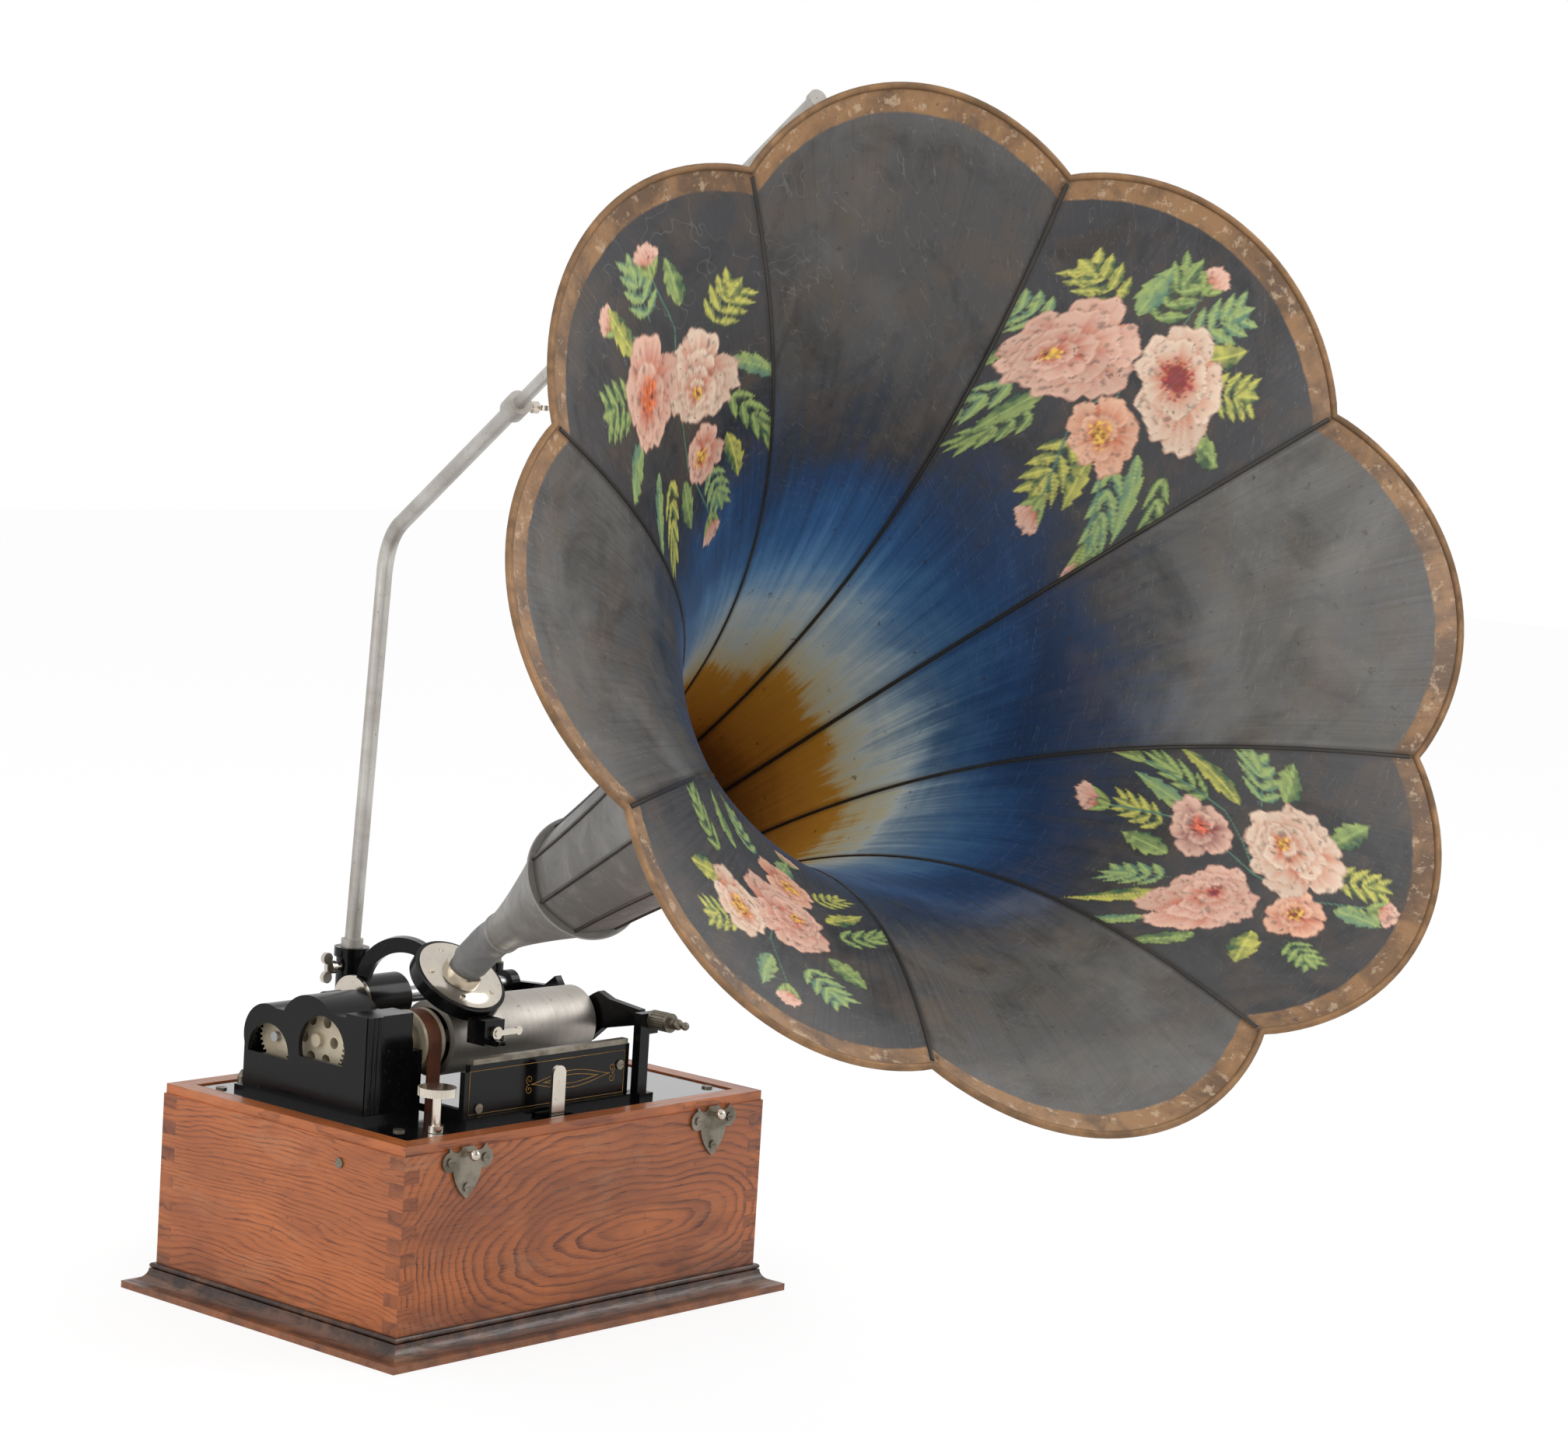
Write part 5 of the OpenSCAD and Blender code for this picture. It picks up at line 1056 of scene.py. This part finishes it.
class PHONO_OT_horn_trim(PhonoPiece, bpy.types.Operator):
    """Make the wired rim and the folded seams of the horn"""

    bl_idname = "phono.horn_trim"
    bl_label = "Horn rim and seams"

    def build(self, scene):
        horn = scene.phono_horn
        self.add_rim(horn)
        self.add_eye(horn)
        self.add_seams(horn)

    def add_rim(self, horn):
        gold = metal_material("Rim paint", tuple(horn.rim_gold), 0.5, 0.25, (70, 56, 44), 0.6, 60.0)
        across = np.linspace(-1, 1, 33)[:-1]
        rim = []
        for k in range(PETALS):
            points, _ = petal_grid(horn, across, np.array([0.0]), horn.sheet / 2, horn.rim_wire * 0.55)
            rim.append(to_row(turned(points[0], petal_angle(k))))
        made = swept_wire("horn_rim_wire", [(np.concatenate(rim), True)], horn.rim_wire, 12, gold)
        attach(made, "horn")
        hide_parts("horn_rim")

    def add_seams(self, horn):
        dark = metal_material("Seam paint", linear(66, 62, 58), 0.3, 0.4, (36, 34, 32), 0.5, 40.0)
        along = np.linspace(0.012, 1, 70) ** 0.9
        for name, side, radius in (("horn_seams_inside", 0.0002, horn.seam_bead * 0.6),
                                   ("horn_seams_outside", horn.sheet, horn.seam_bead)):
            points, _ = petal_grid(horn, np.array([1.0]), along, side)
            lines = [(to_row(turned(points[:, 0], petal_angle(k))), False) for k in range(PETALS)]
            made = swept_wire(name, lines, radius, 8, dark)
            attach(made, "horn")

    def add_eye(self, horn):
        """The eye on the top lobe that the chain hooks to, with its foot."""
        nickel = metal_material("Eye nickel", linear(176, 168, 154), 0.3, 0.9, (104, 92, 74), 0.6, 60.0)
        radius, slope = flare_at(horn, EYE_DEPTH)
        lean = math.sqrt(1 + slope * slope)
        radius *= 1 + GROW_NECK + (GROW_RIM - GROW_NECK) * math.exp(-EYE_DEPTH / GROW_SPAN)
        out = np.array([1 / lean, 0, -slope / lean])
        middle = np.array([radius, 0, -EYE_DEPTH]) + (horn.sheet + EYE_STAND) * out
        a = np.linspace(0, 2 * math.pi, 41)[:-1]
        ring = middle + EYE_REACH * np.stack([np.cos(a), 0 * a, np.sin(a)], -1)
        foot = np.array([middle - down * out for down in EYE_FOOT])
        for name, line, closed, radius, sides in (("horn_eye", ring, True, EYE_WIRE, 14),
                                                  ("horn_eye_foot", foot, False, EYE_FOOT_RADIUS, 32)):
            lines = [(to_row(turned(line, petal_angle(EYE_PETAL))), closed)]
            made = swept_wire(name, lines, radius, sides, nickel)
            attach(made, "horn")
            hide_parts("horn_rim")


def finish_node(name, material, smooth=True):
    """A solid from the frame gets its material, and soft shading on its round faces."""
    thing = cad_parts[name]
    thing.data.materials.clear()
    thing.data.materials.append(material)
    if smooth:
        add_nodes(thing, "Soft shading", {"Corner": CORNER})


class PHONO_OT_case(PhonoPiece, bpy.types.Operator):
    """Give the case boards, frame and base their oak"""

    bl_idname = "phono.case_wood"
    bl_label = "Case wood"

    def build(self, scene):
        case = scene.phono_case
        light, dark = tuple(case.oak_light), tuple(case.oak_dark)
        base = tuple(case.base_light), tuple(case.base_dark)
        softer = tuple(0.85 * low + 0.15 * high for low, high in zip(dark, light))
        lying, front, side = (0, 1, 2), (0, 2, 1), (1, 2, 0)
        boards = {
            "case_front": oak_material("Oak front board", light, dark, front, (0.045, 0.056, 0.0),
                                       end_axis=0),
            "case_back": oak_material("Oak back board", light, dark, front, (-0.06, 0.07, 0.3),
                                      end_axis=0),
            "case_left": oak_material("Oak left board", light, softer, side, (0.03, -0.02, 0.1),
                                      0.0030, 1.4, end_axis=1),
            "case_right": oak_material("Oak right board", light, dark, side, (-0.05, 0.09, 0.2),
                                       0.004, 1.6, end_axis=1),
            "bed_frame": oak_material("Oak frame", light, dark, lying, (0.1, 0.3, 0.0),
                                      0.004, 0.1, mitred=True),
            "base_moulding": oak_material("Base moulding oak", *base, lying, (0.3, 0.4, 0.0),
                                          0.005, 0.1, mitred=True, worn=linear(178, 112, 70)),
            "case_bottom": oak_material("Bottom board oak", *base, lying, (0.0, 0.02, 0.0)),
            "crank_handle": oak_material("Handle wood", *base, lying, (0.2, 0.1, 0.0), 0.003, 0.1),
        }
        for name, material in boards.items():
            finish_node(name, material, name in ("base_moulding", "crank_handle"))


class PHONO_OT_metal(PhonoPiece, bpy.types.Operator):
    """Give the castings, plated parts, gears, belt and elbow their finishes"""

    bl_idname = "phono.metal_finish"
    bl_label = "Metal finishes"

    def build(self, scene):
        tone = scene.phono_metal
        japan, leather, rubber = tuple(tone.japan), tuple(tone.leather), tuple(tone.rubber)
        finishes = {
            metal_material("Polished nickel", tuple(tone.nickel), 0.16, tarnished=0.18):
                "clasp_studs belt_guide start_lever speed_screw carriage_bush lift_lever reproducer_body "
                "tube_thumbscrew socket_thumbscrew",
            metal_material("Tarnished nickel", linear(150, 142, 128), 0.34, 0.85, (92, 84, 70), 0.75, 60.0):
                "case_plates case_screws straight_edge horn_chain reproducer_weight gate_centre gate_latch",
            enamel_material("Black japan", japan):
                "gear_cover gear_frame front_plate gate_post back_post end_gate carriage_arm guide_foot "
                "crane_bracket crank",
            enamel_material("Bedplate japan", japan, (150, 148, 142), 0.10, 0.5, 1.0, 2.1): "bedplate",
            metal_material("Mandrel nickel", linear(196, 190, 182), 0.44, 1.0, (140, 130, 118), 0.2, 12.0,
                           (420.0, 3.0, 3.0)): "mandrel",
            metal_material("Cream pulley enamel", linear(214, 202, 176), 0.35, 0.15, (150, 128, 96),
                           0.5, 40.0): "mandrel_pulley idler_gear feed_gear",
            metal_material("Cut brass", tuple(tone.brass), 0.32, 0.8, (120, 96, 60), 0.45, 50.0):
                "half_nut spring_barrel centre_gear governor",
            metal_material("Turned steel", tuple(tone.steel), 0.24, 1.0, (96, 88, 80), 0.3):
                "back_rod mandrel_pinion feed_screw stylus_bar motor_frame winding_arbor motor_pulley "
                "mainspring",
            metal_material("Crane nickel", tuple(tone.crane), 0.34, 0.55, (150, 142, 132), 0.6, 26.0):
                "crane_tube crane_rod",
            soft_material("Belt leather", leather, linear(70, 38, 24), 0.62, 900.0, 0.0003): "drive_belt",
            soft_material("Elbow rubber", rubber, linear(104, 103, 102), 0.5, 600.0, 0.0001): "horn_elbow",
            soft_material("Diaphragm", linear(206, 198, 176), linear(176, 162, 136), 0.3, 200.0, 0.0001):
                "diaphragm",
            # The neck's grey is lightened 1.5 times over the bell's back: partly for its more worn metal,
            # partly as painted light
            horn_back_material(scene.phono_horn, "Horn neck paint", 1.5): "horn_neck",
        }
        for material, names in finishes.items():
            for name in names.split():
                finish_node(name, material)


class PHONO_OT_scroll(PhonoPiece, bpy.types.Operator):
    """Draw the gold border, leaves and curls on the front plate"""

    bl_idname = "phono.plate_scroll"
    bl_label = "Gold border"

    def build(self, scene):
        gold = metal_material("Gold line", linear(196, 150, 74), 0.4, 0.6, (96, 70, 36), 0.5, 90.0)
        left, right = PLATE_LEFT + LINE_INSET, PLATE_RIGHT - LINE_INSET
        corners = (left, LINE_LOW), (right, LINE_LOW), (right, LINE_HIGH), (left, LINE_HIGH)
        lines = [([(x, PLATE_FACE, z) for x, z in corners], True)]

        def on_face(x, z):
            return np.stack([x, np.full(len(x), PLATE_FACE), z], -1)

        a = np.linspace(0, 2 * math.pi, 97)[:-1]
        for reach, rise in LEAVES:
            lines.append((on_face(LEAF_X + reach * np.cos(a), LEAF_Z + rise * np.sin(a) ** 3), True))
        turn = np.linspace(0, 2 * math.pi * REEL_TURNS, 60)
        reel = np.linspace(REEL_START, REEL_END, 60)
        for side in (-1, 1):
            for up in (-1, 1):
                x = LEAF_X + side * (LEAF_HALF_LENGTH + REEL_GAP + reel * np.sin(turn))
                z = LEAF_Z + up * (REEL_RISE - reel * np.cos(turn))
                lines.append((on_face(x, z), False))
        made = swept_wire("front_plate_scroll", lines, LINE_RADIUS, 6, gold)
        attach(made, "case")


class PHONO_OT_stage(PhonoPiece, bpy.types.Operator):
    """Set the camera, lights, white surroundings and floor"""

    bl_idname = "phono.stage"
    bl_label = "Studio"

    def build(self, scene):
        stage = scene.phono_stage
        self.add_camera(scene, stage)
        self.add_lights(scene, stage)
        self.add_world(scene, stage)
        self.add_floor()
        scene.view_settings.view_transform = "Standard"

    def add_camera(self, scene, stage):
        camera = bpy.data.cameras.new("Photo camera")
        camera.sensor_width = 36
        camera.lens = stage.lens
        camera.clip_end = 50
        holder = bpy.data.objects.new("Photo camera", camera)
        turn = Matrix.Rotation(CAMERA_TURN, 4, "Z") @ Matrix.Rotation(CAMERA_TILT, 4, "X")
        turn = turn @ Matrix.Rotation(CAMERA_ROLL, 4, "Z")
        holder.matrix_world = Matrix.Translation(CAMERA_PLACE) @ turn
        scene.collection.objects.link(holder)
        scene.camera = holder

    def add_lights(self, scene, stage):
        for name, power, size, place, aim in (
            ("Key softbox", stage.key, 1.4, (-1.2, -2.2, 2.1), (-0.1, -0.25, 0.3)),
            ("Fill softbox", stage.fill, 1.8, (-2.4, 0.4, 1.2), (-0.1, -0.2, 0.25)),
            ("Rim softbox", stage.fill, 1.2, (1.6, -1.2, 1.6), (0.0, -0.2, 0.3)),
        ):
            light = bpy.data.lights.new(name, "AREA")
            light.energy = power
            light.size = size
            holder = bpy.data.objects.new(name, light)
            holder.location = place
            holder.rotation_euler = (Vector(aim) - Vector(place)).to_track_quat("-Z", "Y").to_euler()
            scene.collection.objects.link(holder)

    def seen_share(self, net, glossy):
        """1 for rays from the camera or through glass, glossy for mirrored ones, 0 for the others."""
        rays = net.node("ShaderNodeLightPath").outputs
        seen = net.maths("MAXIMUM", rays["Is Camera Ray"], rays["Is Transmission Ray"])
        return net.maths("MAXIMUM", seen, net.times(rays["Is Glossy Ray"], glossy))

    def add_world(self, scene, stage):
        world = bpy.data.worlds.new("White studio")
        world.use_nodes = True
        net = Net(world.node_tree)
        net.tree.nodes.clear()
        strength = net.remap(self.seen_share(net, 0.5), 0.0, 1.0, stage.air, 1.0)
        shown = net.node("ShaderNodeBackground", {"Color": (1, 1, 1), "Strength": strength})
        net.node("ShaderNodeOutputWorld", {0: shown.outputs[0]})
        scene.world = world

    def add_floor(self):
        corners = [(x * FLOOR_HALF, y * FLOOR_HALF, 0) for x, y in ((-1, -1), (1, -1), (1, 1), (-1, 1))]
        floor = new_object("studio_floor", corners, [(0, 1, 2, 3)], [], False)
        material, net, shader = new_material("White floor")
        net.fill(shader.inputs, {"Base Color": (0.9, 0.9, 0.9), "Roughness": 0.9})
        glow = net.node("ShaderNodeEmission", {"Color": (1, 1, 1), "Strength": 1.12})
        share = net.times(self.seen_share(net, 0.3), 0.74)
        mixed = net.node("ShaderNodeMixShader", {0: share, 1: shader.outputs[0], 2: glow.outputs[0]})
        out = next(n for n in net.tree.nodes if n.type == "OUTPUT_MATERIAL")
        net.set(out.inputs[0], mixed.outputs[0])
        floor.data.materials.append(material)


class PHONO_PT_panel(bpy.types.Panel):
    """Sidebar panel that lists the pieces"""

    bl_label = "Phonograph"
    bl_idname = "PHONO_PT_panel"
    bl_space_type = "VIEW_3D"
    bl_region_type = "UI"
    bl_category = "Phonograph"

    def draw(self, context):
        for piece in OPERATORS:
            self.layout.operator(piece.bl_idname)
        for name in SETTINGS:
            settings = getattr(context.scene, name)
            box = self.layout.box()
            for field in settings.__annotations__:
                box.prop(settings, field)


OPERATORS = (
    PHONO_OT_stage, PHONO_OT_case, PHONO_OT_metal, PHONO_OT_horn_petals, PHONO_OT_horn_trim, PHONO_OT_scroll,
)
SETTINGS = {
    "phono_horn": HornSettings, "phono_case": CaseSettings, "phono_metal": MetalSettings,
    "phono_stage": StageSettings,
}


def register():
    for cls in (*SETTINGS.values(), *OPERATORS, PHONO_PT_panel):
        bpy.utils.register_class(cls)
    for name, cls in SETTINGS.items():
        setattr(bpy.types.Scene, name, bpy.props.PointerProperty(type=cls))


def unregister():
    for name in SETTINGS:
        delattr(bpy.types.Scene, name)
    for cls in reversed((*SETTINGS.values(), *OPERATORS, PHONO_PT_panel)):
        bpy.utils.unregister_class(cls)


def main():
    register()
    for piece in OPERATORS:
        group, name = piece.bl_idname.split(".")
        getattr(getattr(bpy.ops, group), name)()


if __name__ == "__main__":
    main()
